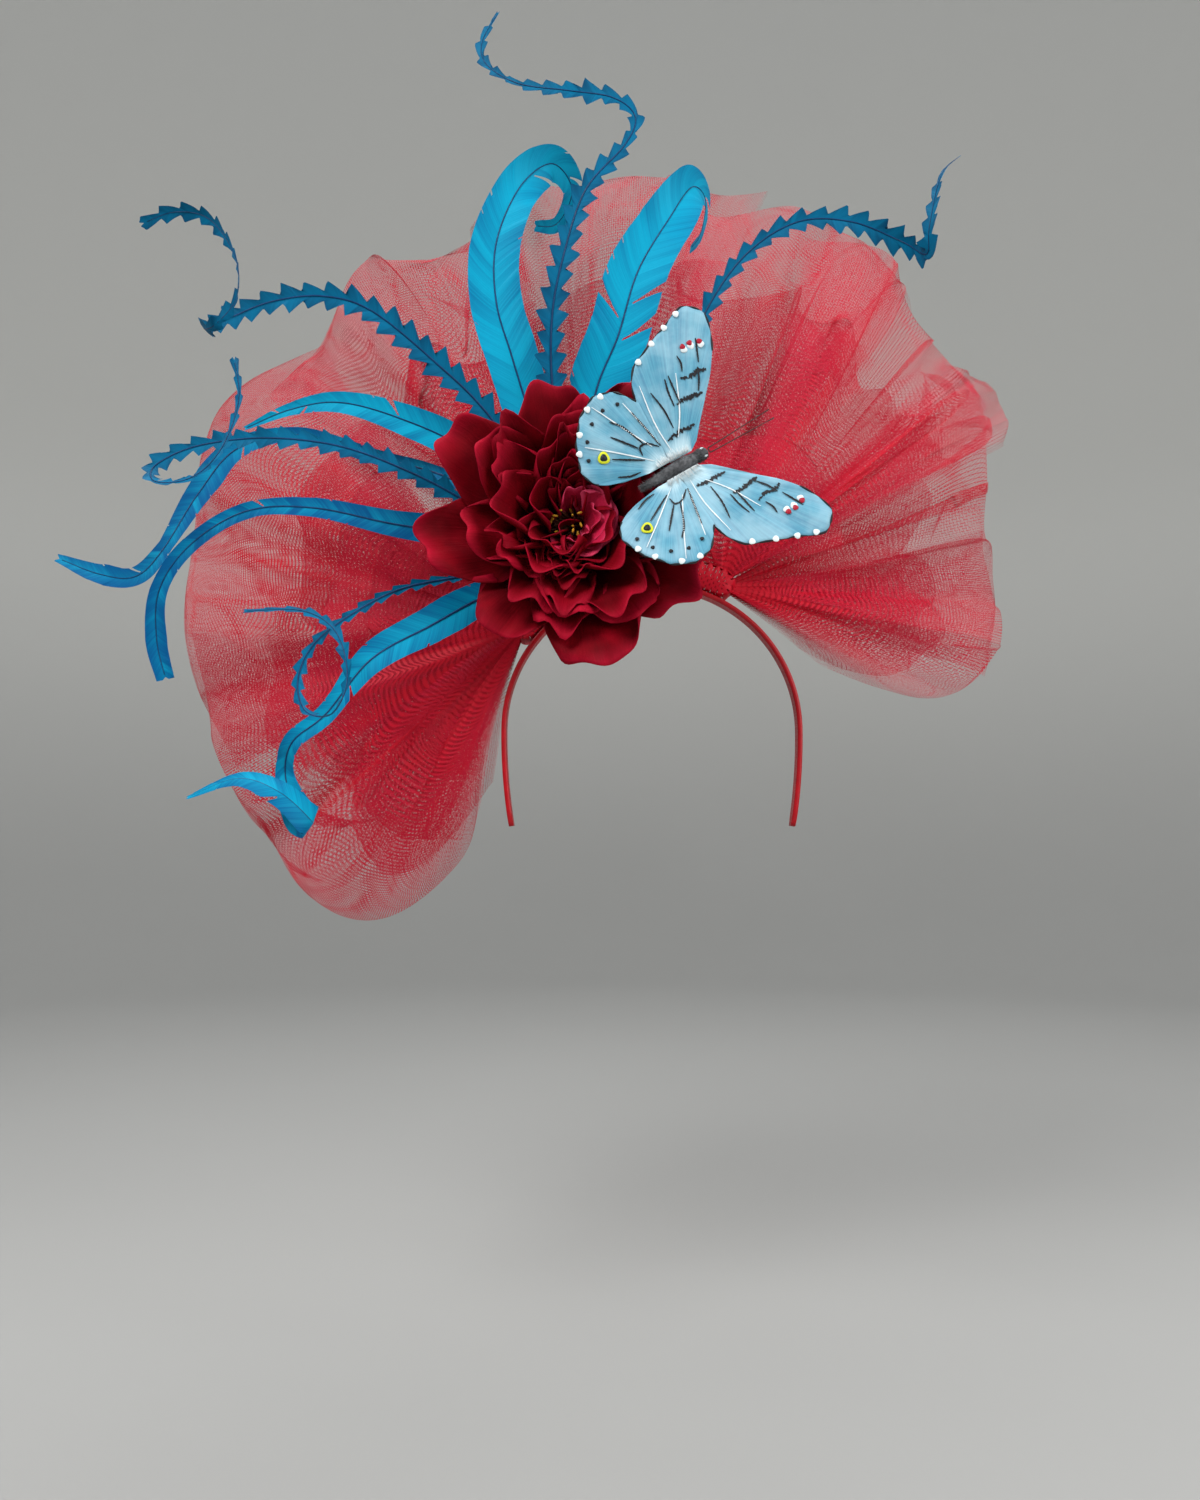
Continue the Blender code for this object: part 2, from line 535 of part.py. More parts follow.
def flower_frame():
    """The peony's own axes: its origin ahead of the base disc, with its third axis out of the flower."""
    tilt = math.radians(FLOWER_PITCH)
    forward = Vector((0.0, -math.cos(tilt), math.sin(tilt)))
    up = Vector((0.0, math.sin(tilt), math.cos(tilt)))
    return BASE_CENTRE - BACK * FLOWER_STANDOFF, up, forward


def in_flower(radial, turn, height):
    """A point from its distance from the flower's axis, its angle round it in radians, and its height."""
    origin, up, forward = flower_frame()
    return origin + RIGHT * radial * math.cos(turn) + up * radial * math.sin(turn) + forward * height


def ring_root(ring):
    """How far a ring's petals start from the flower's axis, and how high."""
    return PETAL_ROOT_RADIUS * ring.root_radius, HEART_HEIGHT * ring.root_height


def petal_point(ring, index, share, across):
    """A point of a petal: share runs from root to tip and across from edge to edge."""
    steps = 12
    radial, height = ring_root(ring)
    reach = PETAL_REACH * ring.reach * (1 + PETAL_VARIETY * math.sin(2.4 * index + ring.turn))
    run = reach * share * (1 - TIP_ROUNDING * across**2 * share)
    slope = math.radians(ring.slope)
    for i in range(steps):
        slope = math.radians(ring.slope + ring.curl * share * (i + 0.5) / steps)
        radial += run * math.cos(slope) / steps
        height += run * math.sin(slope) / steps
    step = math.radians(ring.fan) / ring.petals
    half = between(PETAL_WIDTHS, share) * step / 2
    lift = PETAL_CUP * ring.cup * across**2 * share
    lift += PETAL_TILT * ring.tilt * across * min(1.0, share / TILT_RAMP)
    turn = math.radians(ring.turn) + step * index + half * across
    return in_flower(radial - lift * math.sin(slope), turn, height + lift * math.cos(slope))


def petal(ring, index):
    """One petal of a ring."""
    columns = [2 * j / (PETAL_COLUMNS - 1) - 1 for j in range(PETAL_COLUMNS)]
    rows = [[petal_point(ring, index, share, across) for across in columns] for share in PETAL_ROWS]
    slot = "heart_petal" if ring.name == "heart" else "petal"
    return sheet(f"petal_{ring.name}_{index + 1}", rows, PETAL_WALL, slot)


def receptacle():
    """The flower's stem and the cone that its petals are wired to."""
    tilt = STEM_RADIUS * math.sin(math.radians(FLOWER_PITCH))
    neck = ring_root(RINGS[0])[1] - STEM_NECK
    profile = [(STEM_RADIUS, SEAT_GAP + tilt - FLOWER_STANDOFF), (STEM_RADIUS, neck)]
    for ring in RINGS:
        radius, height = ring_root(ring)
        profile.append((radius - ROOT_CLEARANCE, height - PETAL_WALL / 2))
    radius, height = ring_root(RINGS[-1])
    profile.append((radius - ROOT_CLEARANCE, height + EYE_RISE))
    turns = [2 * math.pi * i / STEM_SIDES for i in range(STEM_SIDES)]
    rings = [[in_flower(radial, turn, height) for turn in turns] for radial, height in profile]
    return loft("flower_stem", rings, "felt")


def stamens():
    """The flower's eye: a small dome with thin stamens standing on it."""
    foot = HEART_HEIGHT + EYE_RISE + SEAT_GAP
    bm = bmesh.new()
    bmesh.ops.create_icosphere(bm, subdivisions=1, radius=EYE_RADIUS)
    tall = [face for face in bm.faces if face.normal.z > 0.15]
    bmesh.ops.inset_individual(bm, faces=tall, thickness=STAMEN_INSET)
    made = bmesh.ops.extrude_discrete_faces(bm, faces=tall)["faces"]
    for face in made:
        middle = face.calc_center_median()
        grow = (face.normal * STAMEN_SPREAD + UP * STAMEN_RISE) * STAMEN_LENGTH + STAMEN_LEAN
        for vert in face.verts:
            vert.co = middle + (vert.co - middle) * STAMEN_TIP + grow
    low = min(vert.co.z for vert in bm.verts)
    origin, up, forward = flower_frame()
    for vert in bm.verts:
        x, y, z = vert.co
        vert.co = origin + RIGHT * x + up * y + forward * (z - low + foot)
    return add_mesh("stamens", bm, "stamen")


def butterfly_frame():
    """The butterfly's own axes: ahead along its body, sideways, and out of its back."""
    origin, up, forward = flower_frame()
    turn = math.radians(BUTTERFLY_TURN)
    ahead = RIGHT * math.cos(turn) + up * math.sin(turn)
    side = up * math.cos(turn) - RIGHT * math.sin(turn)
    middle = origin + RIGHT * BUTTERFLY_RIGHT + up * BUTTERFLY_UP + forward * BUTTERFLY_HEIGHT
    return middle, ahead, side, forward


def wing(name, outline, root, hand, step):
    """One wing: an arched sheet from its root along the body to its outline, raised from the body."""
    middle, ahead, side, out = butterfly_frame()
    raise_by = math.tan(math.radians(WING_PITCH))
    hinge = BODY_RADIUS + SEAT_GAP
    rows = []
    for share in WING_ROWS:
        row = []
        for i, (front, beside) in enumerate(outline):
            along = root[0] + (root[1] - root[0]) * i / (len(outline) - 1)
            x = WING_LENGTH * (along + (front - along) * share)
            y = hinge + (WING_LENGTH * beside - hinge) * share
            arch = WING_CAMBER * math.sin(math.pi * (y - hinge) / WING_LENGTH)
            row.append(middle + ahead * x + side * y * hand + out * ((y - hinge) * raise_by + arch + step))
        rows.append(row)
    return sheet(name, rows, WING_WALL, "wing")


def butterfly_body():
    """The butterfly's body: a tapered spindle with a round head."""
    middle, ahead, side, out = butterfly_frame()
    turns = [2 * math.pi * i / BODY_SIDES for i in range(BODY_SIDES)]
    rays = [(side * math.cos(turn) + out * math.sin(turn)) * BODY_RADIUS for turn in turns]
    rings = []
    for place, size in BODY_PROFILE:
        rings.append([middle + ahead * BODY_LENGTH * place + ray * size for ray in rays])
    return loft("butterfly_body", rings, "body")


def antennae():
    """One bent wire that makes both antennae."""
    middle, ahead, side, out = butterfly_frame()
    head = middle + ahead * (BODY_LENGTH / 2 + SEAT_GAP + ANTENNA_RADIUS)
    spread = math.tan(math.radians(ANTENNA_SPREAD)) * ANTENNA_LENGTH
    points = []
    for hand in (1, -1):
        tip = head + ahead * ANTENNA_LENGTH + side * spread * hand + out * ANTENNA_RISE
        foot = head + side * ANTENNA_FOOT * hand
        points.append([tip, foot.lerp(tip, 0.5), foot])
    return tube("antennae", points[0] + list(reversed(points[1])), ANTENNA_RADIUS, "wire")


def petal_normal(ring, index, share, across):
    """The direction out of a petal's inner face."""
    step = 0.02
    up_it = petal_point(ring, index, share + step, across) - petal_point(ring, index, share - step, across)
    over_it = petal_point(ring, index, share, across + step) - petal_point(ring, index, share, across - step)
    return over_it.cross(up_it).normalized()


def butterfly_post():
    """The short wire that holds the butterfly off the petal behind it."""
    middle, ahead, side, out = butterfly_frame()
    ring = RINGS[1]
    place, across = POST_PLACE
    foot = petal_point(ring, 0, place, across)
    normal = petal_normal(ring, 0, place, across)
    if normal.dot(out) < 0:
        normal.negate()
    foot += normal * (PETAL_WALL / 2 + SEAT_GAP + FOOT_CLEARANCE)
    top = middle - out * (BODY_RADIUS + SEAT_GAP)
    return tube("butterfly_post", [foot, foot + normal * 3 * POST_RADIUS, top], POST_RADIUS, "wire")


def build():
    """Builds every piece of the fascinator."""
    for old in list(bpy.data.objects):
        bpy.data.objects.remove(old)
    headband()
    base_disc()
    net_roll()
    for row in PUFFS:
        puff(row)
    for row in SPIRES:
        spire(row)
    for row in PLUMES:
        plume(row)
    receptacle()
    stamens()
    for ring in RINGS:
        for index in range(ring.petals):
            petal(ring, index)
    butterfly_body()
    antennae()
    butterfly_post()
    for hand, word in ((1, "left"), (-1, "right")):
        wing(f"fore_wing_{word}", FORE_WING, FORE_ROOT, hand, 0.0)
        wing(f"hind_wing_{word}", HIND_WING, HIND_ROOT, hand, WING_STEP)


build()
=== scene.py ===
"""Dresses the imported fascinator: net puffs, feathers, peony, butterfly and satin headband.

Metres, +Z up. The wearer faces -Y and the origin is on top of the head, inside the headband's crown.
"""

from __future__ import annotations

import logging
import math
from dataclasses import dataclass
from enum import Enum
from typing import Sequence

import bpy
import numpy as np
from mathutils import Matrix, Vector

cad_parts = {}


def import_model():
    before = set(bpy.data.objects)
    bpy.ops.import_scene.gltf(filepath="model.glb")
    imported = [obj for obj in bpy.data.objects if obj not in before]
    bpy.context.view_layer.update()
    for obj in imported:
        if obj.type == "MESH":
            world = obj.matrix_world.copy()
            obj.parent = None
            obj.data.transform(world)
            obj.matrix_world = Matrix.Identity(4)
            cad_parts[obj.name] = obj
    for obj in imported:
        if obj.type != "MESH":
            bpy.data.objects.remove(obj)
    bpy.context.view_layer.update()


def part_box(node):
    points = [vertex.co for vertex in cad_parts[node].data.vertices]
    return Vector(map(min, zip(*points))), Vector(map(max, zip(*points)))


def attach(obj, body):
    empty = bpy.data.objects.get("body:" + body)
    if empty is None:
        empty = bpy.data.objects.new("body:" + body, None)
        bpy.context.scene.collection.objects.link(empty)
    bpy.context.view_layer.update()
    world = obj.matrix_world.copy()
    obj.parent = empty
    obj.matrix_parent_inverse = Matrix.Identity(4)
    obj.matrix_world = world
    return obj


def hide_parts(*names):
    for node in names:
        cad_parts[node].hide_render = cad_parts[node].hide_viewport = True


LOG = logging.getLogger("fascinator")
Array = np.ndarray
Triple = tuple[float, float, float]
Colour = Triple
Place = tuple[float, float]
Socket = bpy.types.NodeSocket

MM = 0.001
RIGHT = np.array([1.0, 0.0, 0.0])
BACK = np.array([0.0, 1.0, 0.0])
UP = np.array([0.0, 0.0, 1.0])
BODY = "root"
TINY = 1e-12

# The sizes that the frame's solids have.
BAND_INNER_RADIUS = 75.5 * MM
BAND_THICKNESS = 2.6 * MM
BAND_WIDTH = 10.0 * MM
SEAT_GAP = 0.3 * MM
POST_RADIUS = 0.8 * MM
ROLL_RADIUS = 7.0 * MM
ROLL_DEPTH = 22.0 * MM
ROLL_START_TURN = 65.0
ROLL_END_TURN = 140.0
ROLL_FRONT = -BAND_WIDTH / 2
ROLL_ARC = BAND_INNER_RADIUS + BAND_THICKNESS + SEAT_GAP + ROLL_RADIUS
BAND_CENTRE = -UP * BAND_INNER_RADIUS
BASE_RADIUS = 31.0 * MM
BASE_THICKNESS = 2.5 * MM
BASE_CENTRE = np.array([-40.0 * MM, -BAND_WIDTH / 2 - SEAT_GAP - BASE_THICKNESS, 20.0 * MM])


class Hand(Enum):
    """The side of the butterfly or the feather that something is on."""

    LEFT = 1
    RIGHT = -1


class Trim(Enum):
    """How a feather's barbs are cut."""

    WHOLE = "whole"
    TOOTHED = "toothed"


# Shapes


def unit(vectors: Array) -> Array:
    """Vectors scaled to length one."""
    return vectors / np.maximum(np.linalg.norm(vectors, axis=-1, keepdims=True), TINY)


def ray(turn: Array | float) -> Array:
    """The direction in the headband's plane at an angle in degrees."""
    angle = np.radians(turn)
    return np.cos(angle)[..., None] * RIGHT + np.sin(angle)[..., None] * UP


def bell(values: Array, width: float) -> Array:
    """A smooth peak of one where the values are zero."""
    return np.exp(-((values / width) ** 2))


def smooth_row(values: Array, at: Array) -> Array:
    """Reads a row of values or points as one smooth curve.

    Args:
        values: The values, in order, evenly spaced from 0 to 1.
        at: Where to read them, from 0 to 1.

    Returns:
        The value at each place.
    """
    values = np.asarray(values, float)
    place = np.clip(at, 0, 1) * (len(values) - 1)
    i = np.minimum(place.astype(int), len(values) - 2)
    t = place - i
    if values.ndim > 1:
        t = t[..., None]
    padded = np.concatenate([[2 * values[0] - values[1]], values, [2 * values[-1] - values[-2]]])
    a, b, c, d = (padded[i + k] for k in range(4))
    cubic = (b * 3 - a - c * 3 + d) * t**3
    return (b * 2 + (c - a) * t + (a * 2 - b * 5 + c * 4 - d) * t**2 + cubic) / 2


def ripple(a: Array, b: Array, rng: np.random.Generator, waves: int = 5) -> Array:
    """A smooth uneven field over two coordinates, mostly between -1 and 1.

    Args:
        a: First coordinate.
        b: Second coordinate.
        rng: Source of the waves.
        waves: How many waves are summed.

    Returns:
        The field's values.
    """
    fastest = 1.5
    total = np.zeros(np.broadcast(a, b).shape)
    for _ in range(waves):
        across, along = rng.uniform(-fastest, fastest, 2)
        total += np.sin(math.pi * (across * a + along * b) + rng.uniform(0, 2 * math.pi))
    return total / math.sqrt(waves)


def shares(rows: int, columns: int) -> tuple[Array, Array, Array]:
    """The coordinates of a petal's grid.

    Args:
        rows: How many rows it has, from root to tip.
        columns: How many columns it has, from edge to edge.

    Returns:
        The share of the length, from 0 to 1, the share of the width, from -1 to 1, and the plan.
    """
    share, across = np.meshgrid(np.linspace(0, 1, rows), np.linspace(-1, 1, columns), indexing="ij")
    return share, across, np.stack([share, (across + 1) / 2], -1)


@dataclass
class Line:
    """A smooth space curve with a frame carried along it."""

    points: Array
    sides: Array
    normals: Array
    length: float

    @classmethod
    def through(cls, points: Sequence[Array], normal: Array, steps: int = 240) -> Line:
        """Makes the curve through a few points.

        Args:
            points: The points, in order.
            normal: The direction that the frame's normal starts in.
            steps: How many stations the curve keeps.

        Returns:
            The curve.
        """
        rough = smooth_row(np.array(points), np.linspace(0, 1, 40 * len(points)))
        run = np.concatenate([[0], np.cumsum(np.linalg.norm(np.diff(rough, axis=0), axis=1))])
        even = np.linspace(0, run[-1], steps + 1)
        line = np.stack([np.interp(even, run, rough[:, k]) for k in range(3)], axis=1)
        ahead = unit(np.gradient(line, axis=0))
        normals = np.empty_like(line)
        for i, direction in enumerate(ahead):
            normal = normal - direction * normal.dot(direction)
            normal = normal / np.linalg.norm(normal)
            normals[i] = normal
        return cls(line, np.cross(ahead, normals), normals, float(run[-1]))

    def at(self, share: Array) -> tuple[Array, ...]:
        """Reads the curve and its frame.

        Args:
            share: Where to read them, in shares of the length.

        Returns:
            The points, sideways directions and normals.
        """
        place = np.linspace(0, 1, len(self.points))
        found = []
        for table in (self.points, self.sides, self.normals):
            found.append(np.stack([np.interp(share, place, table[:, k]) for k in range(3)], axis=-1))
        return tuple(found)


class Form:
    """Gathers faces from grids of points and turns them into one object."""

    def __init__(self) -> None:
        """Starts empty."""
        self.points: list[Array] = []
        self.faces: list[Array] = []
        self.plans: list[Array] = []
        self.marks: dict[str, list[Array]] = {}
        self.count = 0

    def grid(
        self,
        points: Array,
        plan: Array | None = None,
        keep: Array | None = None,
        closed: bool = False,
        **marks: Array,
    ) -> None:
        """Adds a grid of points as a sheet, or as a tube if it is closed.

        Args:
            points: Rows by columns by three.
            plan: The flat coordinates of each point.
            keep: Which cells have a face.
            closed: Whether each row runs round in a ring.
            **marks: Further values of each point.
        """
        rows, columns = points.shape[:2]
        index = np.arange(rows * columns).reshape(rows, columns) + self.count
        after = np.roll(index, -1, axis=1)
        cells = np.stack([index[:-1], after[:-1], after[1:], index[1:]], axis=-1)
        if not closed:
            cells = cells[:, :-1]
        cells = cells.reshape(-1, 4) if keep is None else cells[keep]
        self.faces.append(cells)
        self.points.append(points.reshape(-1, 3))
        if plan is None:
            plan = shares(rows, columns)[2]
        self.plans.append(plan.reshape(-1, 2))
        for name, values in marks.items():
            self.marks.setdefault(name, []).append(np.broadcast_to(values, (rows, columns)).reshape(-1))
        self.count += rows * columns

    def tube(self, line: Array, radii: Array | float, sides: int = 6) -> None:
        """Adds a round rod along a line, closed to a point at both ends.

        Args:
            line: The points along its middle.
            radii: The radius at each point.
            sides: How many sides the rod has.
        """
        line = np.concatenate([line[:1], line, line[-1:]])
        radii = np.broadcast_to(radii, len(line) - 2)
        radii = np.concatenate([[radii[0] * 0.05], radii, [radii[-1] * 0.05]])
        ahead = unit(np.gradient(line, axis=0) + TINY)
        ahead[0], ahead[-1] = ahead[1], ahead[-2]
        seed = UP if abs(ahead[len(ahead) // 2][2]) < 0.9 else RIGHT
        side = unit(np.cross(ahead, seed))
        over = np.cross(ahead, side)
        turn = np.linspace(0, 2 * math.pi, sides, endpoint=False)[None, :, None]
        ring = side[:, None] * np.cos(turn) + over[:, None] * np.sin(turn)
        self.grid(line[:, None] + ring * radii[:, None, None], closed=True)

    def mesh_object(self, name: str, material: bpy.types.Material) -> bpy.types.Object:
        """Makes an object of the faces.

        Args:
            name: The object's name.
            material: Its finish.

        Returns:
            The object.
        """
        mesh = bpy.data.meshes.new(name)
        mesh.from_pydata(np.concatenate(self.points).tolist(), [], np.concatenate(self.faces).tolist())
        plans = np.concatenate(self.plans)
        corners = np.empty(len(mesh.loops), np.int32)
        mesh.loops.foreach_get("vertex_index", corners)
        layer = mesh.uv_layers.new(name="plan")
        layer.data.foreach_set("uv", plans[corners].astype(np.float32).ravel())
        for mark, values in self.marks.items():
            attribute = mesh.attributes.new(mark, "FLOAT", "POINT")
            attribute.data.foreach_set("value", np.concatenate(values).astype(np.float32))
        mesh.validate()
        mesh.shade_smooth()
        mesh.materials.append(material)
        piece = bpy.data.objects.new(name, mesh)
        bpy.context.scene.collection.objects.link(piece)
        return piece

    def finish(
        self,
        name: str,
        material: bpy.types.Material,
        slot: str,
        node: str | None = None,
        wall: float = 0.0,
    ) -> bpy.types.Object:
        """Makes a piece of the fascinator, which rides on the frame.

        Args:
            name: The piece's name.
            material: Its finish.
            slot: The material slot that it belongs to. Not used.
            node: The CAD node that it stands for, if any.
            wall: Its thickness, or 0 for a bare surface.

        Returns:
            The object.
        """
        piece = self.mesh_object(name, material)
        if wall:
            thicken = piece.modifiers.new("wall", "SOLIDIFY")
            thicken.thickness = wall
            thicken.offset = 0.0
        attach(piece, BODY)
        if node:
            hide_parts(node)
        LOG.info("%s: %d points", name, self.count)
        return piece


# Shader building


class Graph:
    """Adds nodes to a material or to a group."""

    def __init__(self, tree: bpy.types.NodeTree) -> None:
        """Takes the tree that the nodes go into."""
        self.tree = tree

    def add(self, kind: str, **settings: object) -> bpy.types.Node:
        """Adds a shader node.

        Args:
            kind: Its type, without the leading ShaderNode.
            **settings: Its properties.

        Returns:
            The node.
        """
        node = self.tree.nodes.new("ShaderNode" + kind)
        for key, value in settings.items():
            setattr(node, key, value)
        return node

    def feed(self, socket: Socket, value: Socket | float | Sequence[float]) -> None:
        """Links an output to a socket, or sets the socket's value.

        Args:
            socket: The input.
            value: The output, number, vector or colour that it takes.
        """
        if isinstance(value, bpy.types.NodeSocket):
            self.tree.links.new(value, socket)
        elif isinstance(value, (int, float)):
            socket.default_value = value
        else:
            socket.default_value = (*value, 1.0)[: len(socket.default_value)]

    def fed(
        self, kind: str, values: Sequence[object], places: Sequence[int] = (), **settings: object
    ) -> bpy.types.Node:
        """Adds a shader node and feeds its inputs.

        Args:
            kind: Its type, without the leading ShaderNode.
            values: What its inputs take.
            places: The numbers of those inputs, or nothing for the first ones.
            **settings: Its properties.

        Returns:
            The node.
        """
        node = self.add(kind, **settings)
        for place, value in zip(places or range(len(values)), values):
            self.feed(node.inputs[place], value)
        return node

    def math(self, operation: str, first: Socket | float, second: Socket | float = 0.0) -> Socket:
        """A sum, product or other operation on two numbers."""
        return self.fed("Math", (first, second), operation=operation).outputs[0]

    def span(self, value: Socket, low: float, high: float, start: float = 0.0, end: float = 1.0) -> Socket:
        """A range of values mapped onto another, smoothly."""
        values = (value, low, high, start, end)
        return self.fed("MapRange", values, interpolation_type="SMOOTHSTEP").outputs[0]

    def mix(self, share: Socket | float, first: Socket | Colour, second: Socket | Colour) -> Socket:
        """A blend of two colours."""
        return self.fed("Mix", (share, first, second), (0, 6, 7), data_type="RGBA").outputs[2]

    def stretch(self, vector: Socket, scale: Socket | Sequence[float]) -> Socket:
        """A coordinate scaled along each axis."""
        return self.fed("VectorMath", (vector, scale), operation="MULTIPLY").outputs[0]

    def noise(self, vector: Socket, scale: Socket | float, detail: float = 3.0) -> Socket:
        """Soft noise from 0 to 1."""
        return self.fed("TexNoise", (vector, scale, detail), (0, 2, 3)).outputs[0]

    def axis(self, vector: Socket, number: int) -> Socket:
        """One part of a vector."""
        return self.fed("SeparateXYZ", (vector,)).outputs[number]

    def plan(self) -> Socket:
        """The piece's own flat coordinates."""
        return self.add("UVMap", uv_map="plan").outputs[0]

    def place(self) -> Socket:
        """The place on the object, in metres."""
        return self.add("TexCoord").outputs["Object"]

    def mark(self, name: str) -> Socket:
        """A value that the mesh carries."""
        return self.add("Attribute", attribute_name=name).outputs["Fac"]

    def bump(self, height: Socket, depth: float, strength: float = 1.0) -> Socket:
        """Makes a normal from a height.

        Args:
            height: The height, from 0 to 1.
            depth: What a height of 1 measures, in metres.
            strength: How much of the effect shows.

        Returns:
            The normal.
        """
        node = self.add("Bump")
        for label, value in (("Strength", strength), ("Distance", depth), ("Height", height)):
            self.feed(node.inputs[label], value)
        return node.outputs[0]

    def use(
        self, group: bpy.types.NodeTree, **values: Socket | float | Colour
    ) -> bpy.types.bpy_prop_collection:
        """Places a group.

        Args:
            group: The node group.
            **values: What its inputs take.

        Returns:
            Its outputs.
        """
        node = self.add("Group", node_tree=group)
        for name, value in values.items():
            self.feed(node.inputs[name], value)
        return node.outputs


class Look(Graph):
    """The graph of a material in the making."""

    def __init__(self, name: str) -> None:
        """Makes the material.

        Args:
            name: Its name.
        """
        self.material = bpy.data.materials.new(name)
        self.material.use_nodes = True
        super().__init__(self.material.node_tree)

    def done(self, **values: Socket | float | Colour) -> bpy.types.Material:
        """Feeds the Principled shader.

        Args:
            **values: What its inputs take, with underscores for the spaces in their names.

        Returns:
            The finished material.
        """
        shader = self.tree.nodes["Principled BSDF"]
        for name, value in values.items():
            self.feed(shader.inputs[name.replace("_", " ")], value)
        return self.material


class Group(Graph):
    """The graph of a node group in the making."""

    def __init__(self, name: str, inputs: dict[str, str], outputs: dict[str, str]) -> None:
        """Makes the group.

        Args:
            name: The group's name.
            inputs: Socket names and kinds.
            outputs: Socket names and kinds.
        """
        super().__init__(bpy.data.node_groups.new(name, "ShaderNodeTree"))
        for way, sockets in (("INPUT", inputs), ("OUTPUT", outputs)):
            for label, kind in sockets.items():
                self.tree.interface.new_socket(label, in_out=way, socket_type="NodeSocket" + kind)
        self.given = self.tree.nodes.new("NodeGroupInput").outputs
        self.target = self.tree.nodes.new("NodeGroupOutput")

    def done(self, **values: Socket) -> bpy.types.NodeTree:
        """Feeds the group's outputs.

        Args:
            **values: What they take.

        Returns:
            The finished group.
        """
        for name, value in values.items():
            self.feed(self.target.inputs[name], value)
        return self.tree


@dataclass
class Effects:
    """The node groups that several finishes share, made once."""

    fibres: bpy.types.NodeTree
    mottle: bpy.types.NodeTree
    threads: bpy.types.NodeTree

    @classmethod
    def make(cls) -> Effects:
        """Builds the groups."""
        return cls(cls.make_fibres(), cls.make_mottle(), cls.make_threads())

    @staticmethod
    def make_fibres() -> bpy.types.NodeTree:
        """Builds fine strands that run along the plan's first axis.

        Returns:
            The group.
        """
        broad_scale, fine_share, broad_share = 0.22, 0.45, 0.55
        inputs = {"Plan": "Vector", "Count": "Float", "Wander": "Float"}
        group = Group("fibres", inputs, {"Value": "Float", "Height": "Float"})
        scale = group.fed("CombineXYZ", (group.given["Wander"], group.given["Count"])).outputs[0]
        stretched = group.stretch(group.given["Plan"], scale)
        fine = group.noise(stretched, 1.0, 2.0)
        broad = group.noise(stretched, broad_scale, 2.0)
        parts = (group.math("MULTIPLY", fine, fine_share), group.math("MULTIPLY", broad, broad_share))
        return group.done(Value=group.math("ADD", *parts), Height=fine)

    @staticmethod
    def make_mottle() -> bpy.types.NodeTree:
        """Builds uneven dye: one colour drifts into another in soft patches.

        Returns:
            The group.
        """
        inputs = {"Place": "Vector", "Colour": "Color", "Other": "Color", "Scale": "Float", "Amount": "Float"}
        group = Group("mottle", inputs, {"Colour": "Color", "Value": "Float"})
        given = group.given
        patch = group.span(group.noise(given["Place"], given["Scale"], 4.0), 0.3, 0.7)
        share = group.math("MULTIPLY", patch, given["Amount"])
        return group.done(Colour=group.mix(share, given["Colour"], given["Other"]), Value=patch)

    @staticmethod
    def make_threads() -> bpy.types.NodeTree:
        """Builds the net's threads: six-sided cells whose threads cover a given share of the cloth.

        Returns:
            The group.
        """
        zigzag = 1.3
        inputs = {"Cloth": "Vector", "Cell": "Float", "Cover": "Float"}
        group = Group("threads", inputs, {"Mask": "Float"})
        shrink = group.add("VectorMath", operation="SCALE")
        group.feed(shrink.inputs[0], group.given["Cloth"])
        group.feed(shrink.inputs["Scale"], group.math("DIVIDE", 1.0, group.given["Cell"]))
        first, second = (group.axis(shrink.outputs[0], number) for number in (0, 1))
        peak = group.math("SUBTRACT", group.math("PINGPONG", first, 0.5), 0.25)
        swing = group.math("COSINE", group.math("MULTIPLY", second, math.pi))
        bend = group.math("MULTIPLY", group.math("MULTIPLY", peak, swing), zigzag)
        joined = group.fed("CombineXYZ", (first, group.math("ADD", second, bend))).outputs[0]
        opening = group.math("POWER", group.math("SUBTRACT", 1.0, group.given["Cover"]), 0.5)
        width = group.math("MULTIPLY", group.math("SUBTRACT", 1.0, opening), 0.5)
        bricks = group.add("TexBrick", offset=0.5, offset_frequency=2, squash=1.0)
        for label, value in (
            ("Vector", joined), ("Scale", 1.0), ("Brick Width", 1.0), ("Row Height", 1.0),
            ("Mortar Smooth", 0.3), ("Mortar Size", width),
        ):
            group.feed(bricks.inputs[label], value)
        return group.done(Mask=bricks.outputs["Fac"])


# Finishes


@dataclass(frozen=True)
class NetFinish:
    """Stiff nylon net with small six-sided cells."""

    name: str = "net"
    thin: Colour = (0.55, 0.012, 0.043)
    dense: Colour = (0.52, 0.004, 0.018)
    cell: float = 2.1 * MM
    cover: float = 0.22
    roughness: float = 0.55
    specular: float = 0.15
    patch_scale: float = 30.0
    patch_amount: float = 0.4

    def make(self, effects: Effects) -> bpy.types.Material:
        """Builds the material. Its cover grows where the sheet is gathered.

        Args:
            effects: The shared node groups.

        Returns:
            The material.
        """
        look = Look(self.name)
        left = look.math("POWER", 1.0 - self.cover, look.mark("gather"))
        cover = look.math("SUBTRACT", 1.0, left)
        threads = look.use(effects.threads, Cloth=look.plan(), Cell=self.cell, Cover=cover)
        tone = look.mix(look.span(cover, 0.2, 0.8), self.thin, self.dense)
        dyed = look.use(
            effects.mottle, Place=look.place(), Colour=tone, Other=self.dense,
            Scale=self.patch_scale, Amount=self.patch_amount,
        )
        return look.done(
            Base_Color=dyed["Colour"], Alpha=threads["Mask"],
            Roughness=self.roughness, Specular_IOR_Level=self.specular,
        )


